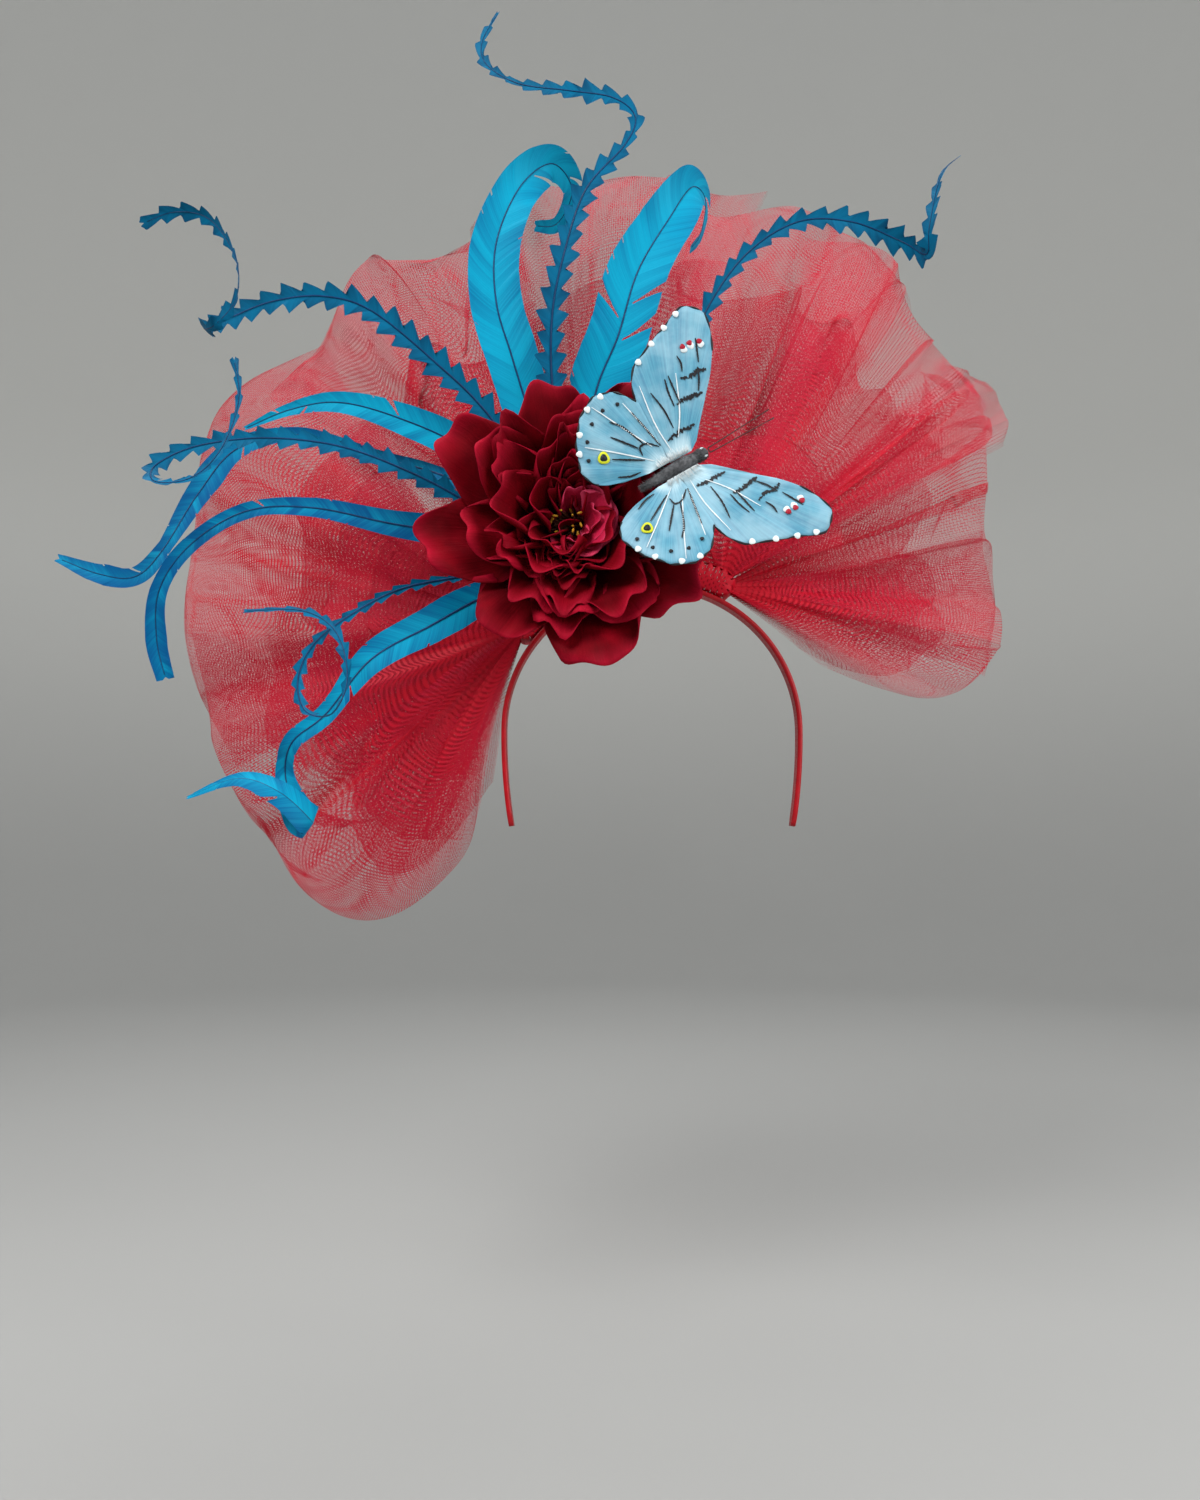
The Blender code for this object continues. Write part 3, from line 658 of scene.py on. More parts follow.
@dataclass(frozen=True)
class PetalFinish:
    """Velvet-faced petal cloth with pressed veins."""

    name: str
    # Painted shade: the dark colour that the petal's root turns to; the dye patches drift to it too.
    throat_shade_and_dye: Colour
    face: Colour
    # Painted highlight: the light colour of the rolled edges and tip.
    lip_highlight: Colour
    roughness: float = 0.62
    sheen: float = 0.02
    sheen_roughness: float = 0.4
    sheen_tint: Colour = (0.9, 0.03, 0.08)
    specular: float = 0.06
    vein_count: float = 46.0
    vein_wander: float = 1.6
    patch_scale: float = 60.0
    patch_amount: float = 0.5
    pile_scale: float = 2500.0
    relief: float = 0.5 * MM

    def make(self, effects: Effects) -> bpy.types.Material:
        """Builds the material: painted shade darkens the root, a painted highlight lightens the rolled lip,
        and it is veined along its length.

        Args:
            effects: The shared node groups.

        Returns:
            The material.
        """
        look = Look(self.name)
        plan = look.plan()
        veins = look.use(effects.fibres, Plan=plan, Count=self.vein_count, Wander=self.vein_wander)
        # Painted shade: the petal darkens towards its root.
        body = look.mix(look.span(look.axis(plan, 0), 0.1, 0.75), self.throat_shade_and_dye, self.face)
        patch = look.use(
            effects.mottle, Place=look.place(), Colour=body, Other=self.throat_shade_and_dye,
            Scale=self.patch_scale, Amount=self.patch_amount,
        )
        # Painted highlight: the rim mark, broken up by the veins, lightens the edges towards the lip colour.
        rim = look.math("MULTIPLY", look.mark("rim"), look.span(veins["Value"], 0.3, 0.7, 0.55, 1.0))
        pile = look.math("MULTIPLY", look.noise(look.place(), self.pile_scale, 1.0), 0.2)
        height = look.math("ADD", look.math("MULTIPLY", veins["Height"], 0.8), pile)
        return look.done(
            Base_Color=look.mix(rim, patch["Colour"], self.lip_highlight),
            Roughness=look.math("ADD", pile, self.roughness - 0.1),
            Normal=look.bump(height, self.relief),
            Sheen_Weight=self.sheen, Sheen_Tint=self.sheen_tint, Sheen_Roughness=self.sheen_roughness,
            Specular_IOR_Level=self.specular,
        )


@dataclass(frozen=True)
class BarbFinish:
    """Dyed feather barbs that lie side by side."""

    name: str
    light: Colour
    deep: Colour
    roughness: float = 0.5
    specular: float = 0.07
    barb_count: float = 900.0
    barb_wander: float = 3.0
    clump_share: float = 0.3
    relief: float = 0.15 * MM
    strength: float = 0.8

    def make(self, effects: Effects) -> bpy.types.Material:
        """Builds the material: each clump has its own tone, and the barbs show as fine strands.

        Args:
            effects: The shared node groups.

        Returns:
            The material.
        """
        look = Look(self.name)
        barbs = look.use(effects.fibres, Plan=look.plan(), Count=self.barb_count, Wander=self.barb_wander)
        clump = look.math("MULTIPLY", look.mark("clump"), self.clump_share)
        tone = look.math("ADD", look.math("ADD", clump, look.mark("shade")), barbs["Value"])
        return look.done(
            Base_Color=look.mix(look.span(tone, 0.45, 1.5), self.light, self.deep),
            Roughness=look.span(barbs["Value"], 0.2, 0.8, self.roughness - 0.1, self.roughness + 0.15),
            Normal=look.bump(barbs["Height"], self.relief, self.strength),
            Specular_IOR_Level=self.specular,
        )


@dataclass(frozen=True)
class WingFinish:
    """Bleached feather, stamped to a wing and sprayed pale blue."""

    name: str = "wing"
    root: Colour = (0.52, 0.72, 0.80)
    face: Colour = (0.09, 0.34, 0.47)
    shade: Colour = (0.035, 0.20, 0.33)
    smooth: float = 0.45
    rough: float = 0.65
    barb_count: float = 110.0
    barb_wander: float = 2.0
    patch_scale: float = 70.0
    patch_amount: float = 0.35
    ragged: float = 0.12
    relief: float = 0.12 * MM
    strength: float = 0.8

    def make(self, effects: Effects) -> bpy.types.Material:
        """Builds the material: white by the body, streaked along the barbs.

        Args:
            effects: The shared node groups.

        Returns:
            The material.
        """
        look = Look(self.name)
        plan = look.plan()
        barbs = look.use(effects.fibres, Plan=plan, Count=self.barb_count, Wander=self.barb_wander)
        sprayed = look.mix(look.span(barbs["Value"], 0.35, 0.72), self.face, self.shade)
        patch = look.use(
            effects.mottle, Place=look.place(), Colour=sprayed, Other=self.root,
            Scale=self.patch_scale, Amount=self.patch_amount,
        )
        near = look.math("ADD", look.axis(plan, 0), look.math("MULTIPLY", barbs["Value"], self.ragged))
        return look.done(
            Base_Color=look.mix(look.span(near, 0.10, 0.26), self.root, patch["Colour"]),
            Roughness=look.span(barbs["Value"], 0.2, 0.8, self.smooth, self.rough),
            Normal=look.bump(barbs["Height"], self.relief, self.strength),
        )


@dataclass(frozen=True)
class CoatFinish:
    """A plain coat, such as paint, felt, satin or wire: grain, uneven dye and slight bump."""

    name: str
    colour: Colour
    other: Colour
    roughness: float
    grain: float = 900.0
    depth: float = 0.05 * MM
    stretch: Triple = (1.0, 1.0, 1.0)
    sheen: float = 0.0
    anisotropy: float = 0.0
    specular: float = 0.25
    patch_scale: float = 120.0
    patch_amount: float = 0.6

    def make(self, effects: Effects) -> bpy.types.Material:
        """Builds the material.

        Args:
            effects: The shared node groups.

        Returns:
            The material.
        """
        look = Look(self.name)
        place = look.stretch(look.place(), self.stretch)
        dyed = look.use(
            effects.mottle, Place=place, Colour=self.colour, Other=self.other,
            Scale=self.patch_scale, Amount=self.patch_amount,
        )
        grain = look.noise(place, self.grain)
        return look.done(
            Base_Color=look.mix(look.span(grain, 0.35, 0.75, 0.0, 0.5), dyed["Colour"], self.other),
            Roughness=look.span(grain, 0.2, 0.8, self.roughness - 0.08, self.roughness + 0.1),
            Normal=look.bump(grain, self.depth),
            Sheen_Weight=self.sheen, Anisotropic=self.anisotropy, Specular_IOR_Level=self.specular,
        )


@dataclass(frozen=True)
class Wardrobe:
    """Every finish, made once. Each field has its material's name."""

    net: bpy.types.Material
    petal: bpy.types.Material
    heart_petal: bpy.types.Material
    plume: bpy.types.Material
    spire: bpy.types.Material
    quill: bpy.types.Material
    wing: bpy.types.Material
    black_paint: bpy.types.Material
    white_paint: bpy.types.Material
    red_paint: bpy.types.Material
    yellow_paint: bpy.types.Material
    fur: bpy.types.Material
    satin: bpy.types.Material
    felt: bpy.types.Material
    wire: bpy.types.Material
    filament: bpy.types.Material
    anther: bpy.types.Material

    @classmethod
    def make(cls, effects: Effects) -> Wardrobe:
        """Builds the materials.

        Args:
            effects: The shared node groups.

        Returns:
            The finishes.
        """
        finishes = (
            NetFinish(),
            # Each petal finish lists its root colour, which is painted shade, its face colour, and its lip
            # colour, which is a painted highlight.
            PetalFinish("petal", (0.016, 0.0002, 0.001), (0.20, 0.0006, 0.006), (0.46, 0.005, 0.028)),
            PetalFinish("heart_petal", (0.22, 0.003, 0.018), (0.62, 0.016, 0.070), (0.74, 0.07, 0.16)),
            BarbFinish("plume", (0.002, 0.34, 0.54), (0.0005, 0.08, 0.23)),
            BarbFinish("spire", (0.001, 0.135, 0.27), (0.0005, 0.018, 0.065)),
            CoatFinish("quill", (0.004, 0.05, 0.16), (0.002, 0.02, 0.07), 0.4, stretch=(1.0, 1.0, 0.2)),
            WingFinish(),
            CoatFinish("black_paint", (0.006, 0.006, 0.008), (0.02, 0.02, 0.025), 0.5),
            CoatFinish("white_paint", (0.82, 0.85, 0.85), (0.60, 0.70, 0.74), 0.55),
            CoatFinish("red_paint", (0.42, 0.010, 0.03), (0.28, 0.006, 0.02), 0.5),
            CoatFinish("yellow_paint", (0.72, 0.74, 0.02), (0.55, 0.60, 0.02), 0.5),
            CoatFinish("fur", (0.16, 0.165, 0.175), (0.014, 0.014, 0.016), 0.8, 700.0),
            CoatFinish(
                "satin", (0.42, 0.003, 0.010), (0.28, 0.002, 0.006), 0.34,
                grain=1400.0, depth=0.03 * MM, stretch=(1.0, 0.15, 1.0), anisotropy=0.5,
            ),
            CoatFinish(
                "felt", (0.05, 0.0015, 0.005), (0.025, 0.001, 0.003), 0.9,
                grain=700.0, depth=0.2 * MM, sheen=0.05,
            ),
            CoatFinish("wire", (0.02, 0.02, 0.022), (0.05, 0.045, 0.04), 0.45),
            CoatFinish("filament", (0.07, 0.022, 0.008), (0.025, 0.006, 0.004), 0.6),
            CoatFinish("anther", (0.62, 0.33, 0.02), (0.36, 0.16, 0.01), 0.7, depth=0.1 * MM),
        )
        return cls(**{finish.name: finish.make(effects) for finish in finishes})


# Headband, base and roll


@dataclass
class Headband:
    """The satin-covered band: a half ring with a leg at each side."""

    inner_radius: float = BAND_INNER_RADIUS
    thickness: float = BAND_THICKNESS
    width: float = BAND_WIDTH
    edge: float = 0.7 * MM
    leg_length: float = 50.0 * MM
    leg_bend_radius: float = 300.0 * MM
    leg_steps: int = 24
    arch_steps: int = 121
    face_steps: int = 15
    tip_widths: tuple[float, ...] = (0.6, 0.8, 0.93)
    groove: float = 0.25 * MM
    groove_place: float = 0.45
    groove_width: float = 0.5 * MM

    def stations(self) -> tuple[Array, Array]:
        """Finds the stations of the band.

        Returns:
            Points along the middle of its wall, and the outward direction at each.
        """
        middle = self.inner_radius + self.thickness / 2
        bend = np.linspace(self.leg_length / self.leg_bend_radius, 0, self.leg_steps, endpoint=False)
        right = RIGHT * middle - np.outer(1 - np.cos(bend), RIGHT) * self.leg_bend_radius
        right = right - np.outer(np.sin(bend), UP) * self.leg_bend_radius
        right_out = ray(-np.degrees(bend))
        arch = ray(np.linspace(0, 180, self.arch_steps))
        flip = np.array([-1.0, 1.0, 1.0])
        places = np.concatenate([right, arch * middle, (right * flip)[::-1]])
        return BAND_CENTRE + places, np.concatenate([right_out, arch, (right_out * flip)[::-1]])

    def section(self) -> Array:
        """Draws the band's section, with round edges and two grooves where the satin is folded.

        Returns:
            Its points, outward and backward from the middle of the wall.
        """
        wall, flat, deep = self.thickness / 2, self.width / 2 - self.edge, self.width / 2
        across = np.linspace(-flat, flat, self.face_steps)
        grooves = -self.groove * bell(np.abs(across) - flat * self.groove_place, self.groove_width)
        back = np.stack([np.full(self.face_steps, -wall), across], 1)
        front = np.stack([wall + grooves, across], 1)[::-1]
        bow = np.radians(np.linspace(-90, 90, 7)[1:-1])
        far = np.stack([wall * np.sin(bow), flat + (deep - flat) * np.cos(bow)], 1)
        return np.concatenate([back, far, front, far[::-1] * np.array([1.0, -1.0])])

    def build(self, looks: Wardrobe) -> None:
        """Builds and dresses the band.

        Args:
            looks: The finishes.
        """
        places, outs = self.stations()
        section = self.section()
        taper, ends = np.ones(len(places)), len(self.tip_widths)
        taper[:ends], taper[-ends:] = self.tip_widths, self.tip_widths[::-1]
        ring = places[:, None] + outs[:, None] * section[None, :, :1]
        ring = ring + BACK * (section[None, :, 1:] * taper[:, None, None])
        caps = [np.broadcast_to(ring[i].mean(0), ring[:1].shape) for i in (0, -1)]
        form = Form()
        form.grid(np.concatenate([caps[0], ring, caps[1]]), closed=True)
        form.finish("headband_satin", looks.satin, "band", "headband")


@dataclass
class BaseDisc:
    """The felt disc that the flower and the feathers are sewn to."""

    radius: float = BASE_RADIUS
    thickness: float = BASE_THICKNESS
    edge: float = 0.8 * MM
    sides: int = 96
    face_shares: tuple[float, ...] = (0.02, 0.5, 0.9)
    stitches: int = 44
    stitch_foot: float = 0.9
    stitch_reach: float = 0.06
    stitch_slant: float = 0.45
    stitch_depth: float = 1.02
    thread_radius: float = 0.22 * MM

    def build(self, looks: Wardrobe) -> None:
        """Builds and dresses the disc and the stitches round its back edge.

        Args:
            looks: The finishes.
        """
        turn = np.linspace(0, 360, self.sides, endpoint=False)
        half = self.thickness / 2
        profile = [(self.radius * share, half) for share in self.face_shares]
        for bow in np.radians(np.linspace(0, 90, 5)):
            profile.append(
                (self.radius - self.edge * (1 - math.sin(bow)), half - self.edge * (1 - math.cos(bow)))
            )
        profile += [(radius, -height) for radius, height in reversed(profile)]
        rows = [BASE_CENTRE + BACK * (half - height) + ray(turn) * radius for radius, height in profile]
        form = Form()
        form.grid(np.array(rows), closed=True)
        form.finish("base_felt", looks.felt, "felt", "base_disc")
        threads = Form()
        back = BASE_CENTRE + BACK * self.thickness * self.stitch_depth
        for i in range(self.stitches):
            first, second = (ray(360.0 * place / self.stitches) for place in (i, i + self.stitch_slant))
            foot = back + first * self.radius * self.stitch_foot
            head = back + second * self.radius * self.stitch_foot + first * self.radius * self.stitch_reach
            threads.tube(np.linspace(foot, head, 5), self.thread_radius)
        threads.finish("base_stitches", looks.satin, "felt")


@dataclass
class NetRoll:
    """The gathered root of the net, sewn along the top of the band."""

    radius: float = ROLL_RADIUS
    depth: float = ROLL_DEPTH
    edge: float = 1.5 * MM
    gathers: int = 62
    pucker: float = 0.9 * MM
    drift: float = 1.4
    drift_waves: int = 9
    steps: int = 361
    cap_steps: int = 32
    depth_steps: int = 13
    cloth: Place = (0.05, 0.3)
    density: float = 11.0

    def spine(self) -> tuple[Array, Array, Array]:
        """Follows the roll along and back.

        Returns:
            Points of its middle, the way out to its wall at each, and how free the wall is there.
        """
        arc = np.linspace(ROLL_START_TURN, ROLL_END_TURN, self.steps)
        cap = np.linspace(0, 180, self.cap_steps)[1:-1]
        turn = np.concatenate(
            [arc, np.full(len(cap), ROLL_END_TURN), arc[::-1], np.full(len(cap), ROLL_START_TURN)]
        )
        outs = np.concatenate(
            [ray(arc), ray(ROLL_END_TURN + cap), -ray(arc[::-1]), ray(ROLL_START_TURN + 180 + cap)]
        )
        free = np.clip(1 + (outs * ray(turn)).sum(-1), 0, 1)
        return BAND_CENTRE + ray(turn) * ROLL_ARC, outs, free

    def build(self, looks: Wardrobe) -> None:
        """Builds and dresses the roll.

        Args:
            looks: The finishes.
        """
        spine, outs, free = self.spine()
        around = np.linspace(0, 2 * math.pi, len(spine), endpoint=False)
        rows = []
        for angle in np.radians(np.linspace(0, 180, self.depth_steps)):
            inset = self.edge * (1 - math.sin(angle))
            depth = self.depth / 2 * (1 - math.cos(angle))
            wander = self.drift * np.sin(self.drift_waves * around + 0.6 * angle)
            folds = np.sin(self.gathers * around + wander + 0.5 * angle)
            wall = self.radius - inset + self.pucker * free * (1 + folds)
            rows.append(spine + outs * wall[:, None] + BACK * (ROLL_FRONT + depth))
        ring = np.array([spine + BACK * ROLL_FRONT, *rows, spine + BACK * (ROLL_FRONT + self.depth)])
        sides = (np.linspace(0, size, count) for size, count in zip(self.cloth, ring.shape))
        plan = np.stack(np.meshgrid(*sides, indexing="ij"), -1)
        form = Form()
        form.grid(ring, plan=plan, closed=True, gather=np.array(self.density))
        form.finish("net_roll_gathered", looks.net, "net", "net_roll")


# Net puffs


@dataclass
class Puff:
    """A folded net sheet that opens like a fan from the roll, and the shorter sheet inside it."""

    name: str
    knot: float
    rank: float
    lean: float
    middle: float
    spread: float
    length: float
    edge: tuple[float, ...]
    belly: float
    pleats: float
    ruffle: float
    phase: float
    folds: float = 5.0
    inner: float = 0.7
    stands_for_node: bool = True
    density: float = 1.0

    FULL_LENGTH = 285.0 * MM
    FULL_BELLY = 13.0 * MM
    FULL_RUFFLE = 9.0 * MM
    ROOT_GAP = 1.3 * MM
    ROOT_SPREAD = 0.8
    RANK = ROLL_DEPTH / 3
    ROWS = 92
    COLUMNS = 104
    EDGE_CROWDING = 0.12
    DRIFT, OUTER_DRIFT = 3.0, 1.8
    TUCK, TUCK_SWING, MOST_TUCK, OUTER_EASE = 0.6, 1.1, 2.2, 0.25
    CROSS_FOLDS, CROSS_DRIFT = 5.0, 2.6
    ROLL_OVER, ROLL_SWING, MOST_ROLL = 0.4, 1.1, 1.9
    UNEVEN_REACH = 0.32
    FOLD_DEPTH, LEAST_FOLD, MOST_FOLD, FOLD_EASE = 0.12, 0.2, 1.4, 0.5
    WAVE, CRINKLE, BUBBLE = 6.5 * MM, 0.8 * MM, 5.0 * MM
    RIDGE_CREASE, RIDGE_WIDTH = 1.8, 0.25
    EDGE_CREASE, EDGE_WIDTH = 2.2, 0.008
    STRAY_CREASE, STRAY_WIDTH, STRAY_PACES = 1.1, 0.05, (1.6, 2.8)
    STREAK, STREAK_EASE = 0.4, 0.7
    LEAST_GATHER, MOST_GATHER, EDGE_OPENING = 0.35, 25, 0.85
    CLOTH_EASE = 1.15
    MOST_FILL, LEAST_FILL = 0.99, 0.35

    def root(self, turn: Array) -> Array:
        """Finds how far from its knot the sheet leaves the roll.

        Args:
            turn: The angle of each point in degrees.

        Returns:
            The distances.
        """
        clear = ROLL_RADIUS + SEAT_GAP
        flare = clear / np.cos(np.radians(np.clip(turn - self.knot, -85, 85)))
        if self.knot == ROLL_START_TURN:
            return np.where(turn < self.knot, clear, flare)
        if self.knot == ROLL_END_TURN:
            return np.where(turn > self.knot, clear, flare)
        return flare

    def gather(
        self, across: Array, along: Array, share: Array, ridge: Array, rng: np.random.Generator
    ) -> Array:
        """Finds how closely the sheet is gathered.

        Args:
            across: From -1 at one side to 1 at the other.
            along: From 0 at the front root to 1 at the back root.
            share: How far out each point is.
            ridge: Zero where the sheet turns back on itself.
            rng: Source of the stray creases and streaks.

        Returns:
            How many times closer the threads lie than in flat cloth.
        """
        crease = 1 + self.RIDGE_CREASE * bell(ridge, self.RIDGE_WIDTH)
        crease = crease + self.EDGE_CREASE * bell(along - 0.5, self.EDGE_WIDTH)
        for pace in self.STRAY_PACES:
            stray = bell(ripple(across * pace, along * pace * 1.3, rng), self.STRAY_WIDTH)
            crease = crease + self.STRAY_CREASE * stray * share
        streak = 1 + self.STREAK * ripple(across * 16, along * 0.5, rng, 6) * (1 - self.STREAK_EASE * share)
        closed = np.clip(1.0 / np.clip(share, 0.04, 1), 1, self.MOST_GATHER)
        closed = closed * crease * np.clip(streak, 0.5, 2.0)
        opened = 1 - self.EDGE_OPENING * np.abs(across) ** 5
        return self.density * (self.LEAST_GATHER + (closed - self.LEAST_GATHER) * opened)

    def surface(
        self, across: Array, along: Array, reach: float, rng: np.random.Generator
    ) -> tuple[Array, Array]:
        """Finds the points of the sheet and how closely it is gathered.

        Args:
            across: From -1 at one side to 1 at the other.
            along: From 0 at the front root to 1 at the back root.
            reach: The sheet's length as a share of the puff's.
            rng: Source of the folds.

        Returns:
            The points, and how many times closer the threads lie than in flat cloth.
        """
        out = np.sin(np.pi * along)
        drift = self.DRIFT * ripple(across * 0.8, along * 1.1, rng, 4)
        phase = math.pi * self.folds * across + drift + self.OUTER_DRIFT * out * ripple(across, along, rng, 3)
        tuck = self.TUCK + self.TUCK_SWING * ripple(across * 1.1, along * 1.3, rng)
        tuck = np.clip(tuck, 0, self.MOST_TUCK) * np.sqrt(out) * (1 - self.OUTER_EASE * out)
        folded = across + tuck * np.sin(phase) / (math.pi * self.folds)
        roll = self.ROLL_OVER + self.ROLL_SWING * ripple(across * 1.6, along, rng, 4)
        pace = 2 * math.pi * self.CROSS_FOLDS
        cross = pace * along + self.CROSS_DRIFT * ripple(across * 1.4, along, rng)
        bent = np.clip(along + np.clip(roll, 0, self.MOST_ROLL) * out * np.sin(cross) / pace, 0, 1)
        out = np.sin(np.pi * bent)
        turn = self.middle + self.spread * folded * (self.ROOT_SPREAD + (1 - self.ROOT_SPREAD) * out)
        root = self.root(turn)
        fold = self.FULL_LENGTH * self.length * smooth_row(np.array(self.edge), (folded + 1) / 2) * reach
        fold = fold * (1 + self.UNEVEN_REACH * (1 - reach) * ripple(across * 2.0, along * 0.7, rng, 4))
        radial = root + (fold - root) * out
        share = radial / fold
        gap = self.ROOT_GAP + self.FULL_BELLY * self.belly * share**0.8 * reach**2
        depth = ROLL_FRONT + self.RANK * (self.rank + 0.5) + self.lean * (radial - root)
        depth = depth - gap * np.cos(np.pi * bent)
        wave = math.pi * self.pleats * across + self.phase + 0.9 * bent
        depth = depth + self.FULL_RUFFLE * self.ruffle * share**1.5 * np.sin(wave)
        arc = 2 * np.radians(self.spread) * radial / self.folds
        swell = self.FOLD_DEPTH * arc * np.cos(phase) * np.clip(tuck, self.LEAST_FOLD, self.MOST_FOLD)
        depth = depth + swell * (1 - self.FOLD_EASE * share)
        depth = depth + self.WAVE * share * ripple(across * 1.8, along * 2.6, rng, 5)
        depth = depth + self.CRINKLE * share * ripple(across * 6, along * 8, rng, 6)
        lift = self.BUBBLE * share * ripple(across * 2.5, along * 3, rng, 5) * out * (1 - out) * 4
        points = BAND_CENTRE + ray(self.knot) * ROLL_ARC + ray(turn) * (radial + lift)[..., None]
        ridge = 1 + tuck * np.cos(phase)
        return points + depth[..., None] * BACK, self.gather(across, along, share, ridge, rng)

    def layer(
        self, name: str, reach: float, node: str | None, looks: Wardrobe, rng: np.random.Generator
    ) -> None:
        """Builds and dresses one sheet of the puff.

        Args:
            name: The piece's name.
            reach: Its length as a share of the puff's.
            node: The CAD node that it stands for, if any.
            looks: The finishes.
            rng: Source of the folds.
        """
        step, across, _ = shares(self.ROWS, self.COLUMNS)
        along = step + self.EDGE_CROWDING * np.sin(2 * math.pi * step) / (2 * math.pi)
        points, gather = self.surface(across, along, reach, rng)
        long = 2 * self.FULL_LENGTH * self.length * reach
        wide = self.CLOTH_EASE * math.radians(self.spread) * long
        form = Form()
        form.grid(points, plan=np.stack([(across + 1) / 2 * wide, along * long], -1), gather=gather)
        sheet = form.finish(name, looks.net, "net", node)
        first, second = points[1:, 1:] - points[:-1, :-1], points[1:, :-1] - points[:-1, 1:]
        area = float(np.linalg.norm(np.cross(first, second), axis=-1).sum() / 2)
        width = max(wide, area / (self.MOST_FILL * long))
        width = min(width, area / (self.LEAST_FILL * long))

    def build(self, looks: Wardrobe, seed: int) -> None:
        """Builds and dresses the outer sheet and the inner one.

        Args:
            looks: The finishes.
            seed: The puff's own seed.
        """
        rng = np.random.default_rng(seed)
        node = self.name if self.stands_for_node else None
        self.layer(f"{self.name}_net", 1.0, node, looks, rng)
        self.layer(f"{self.name}_inner", self.inner, None, looks, rng)


PUFFS = (
    Puff("puff_left_low", ROLL_END_TURN, 0, 0.10, 218.5, 38.5, 0.639,
         (0.99, 0.98, 0.97, 0.98, 1.00, 0.93, 0.62), 1.0, 2.5, 1.0, 0.6, 4.0, 0.78, density=1.5),
    Puff("puff_left_short", ROLL_END_TURN, 1, 0.30, 219.0, 30.0, 0.463, (0.94, 1.00, 0.96, 1.00, 0.90),
         0.7, 3.0, 0.67, 2.2, 4.0, 0.7, density=1.5),
    Puff("puff_left_high", ROLL_END_TURN, 2, 0.40, 162.0, 38.0, 0.884, (0.97, 0.99, 0.90, 0.82, 0.77),
         1.0, 2.0, 1.0, 1.4, 4.0, 0.66, density=1.6),
    Puff("puff_top_left", 115.0, 1, 0.24, 122.5, 23.5, 0.86, (1.00, 0.93, 0.99, 0.90, 0.93),
         0.7, 1.5, 0.67, 3.1, 3.0, 0.7, density=1.4),
    Puff("puff_top", 115.0, 0, 0.15, 87.0, 21.0, 0.912, (1.00, 0.95, 0.97, 0.91, 0.83),
         0.7, 2.0, 0.78, 0.2, 3.0, 0.74),
    Puff("puff_right_top", 78.0, 2, 0.40, 72.0, 20.0, 1.0, (0.90, 0.98, 0.96, 0.96, 1.00),
         0.92, 1.5, 0.78, 4.4, 3.0, 0.72),
    Puff("puff_right_high", ROLL_START_TURN, 1, 0.22, 55.0, 20.0, 0.832, (0.82, 0.85, 0.88, 0.98, 0.98),
         1.0, 1.5, 0.89, 2.7, 3.0, 0.76),
    Puff("puff_right_loop", ROLL_START_TURN, 0, 0.08, 36.0, 9.0, 0.656, (0.93, 0.99, 1.00, 0.98, 0.93),
         0.85, 1.0, 0.56, 0.9, 2.0, 0.8),
    Puff("puff_right_side", ROLL_START_TURN, 2, 0.40, 14.0, 27.0, 0.789, (0.75, 0.77, 0.76, 0.87, 1.00),
         1.0, 2.0, 0.89, 5.3, 3.5, 0.74),
    Puff("puff_right_low", ROLL_START_TURN, 1, 0.22, -11.0, 25.0, 0.568, (0.45, 0.85, 0.99, 1.00, 0.95),
         1.0, 2.0, 0.89, 3.8, 3.5, 0.75),
    Puff("tuft_right", ROLL_START_TURN, 0, 0.05, 92.0, 74.0, 0.30, (0.80, 1.00, 0.92, 1.00, 0.85),
         0.4, 3.0, 0.5, 1.0, 4.0, 0.75, False),
    Puff("tuft_left", ROLL_END_TURN, 0, 0.05, 168.0, 62.0, 0.40, (0.85, 1.00, 0.95, 1.00, 0.80),
         0.4, 3.0, 0.5, 2.0, 4.0, 0.75, False),
)


# Feathers


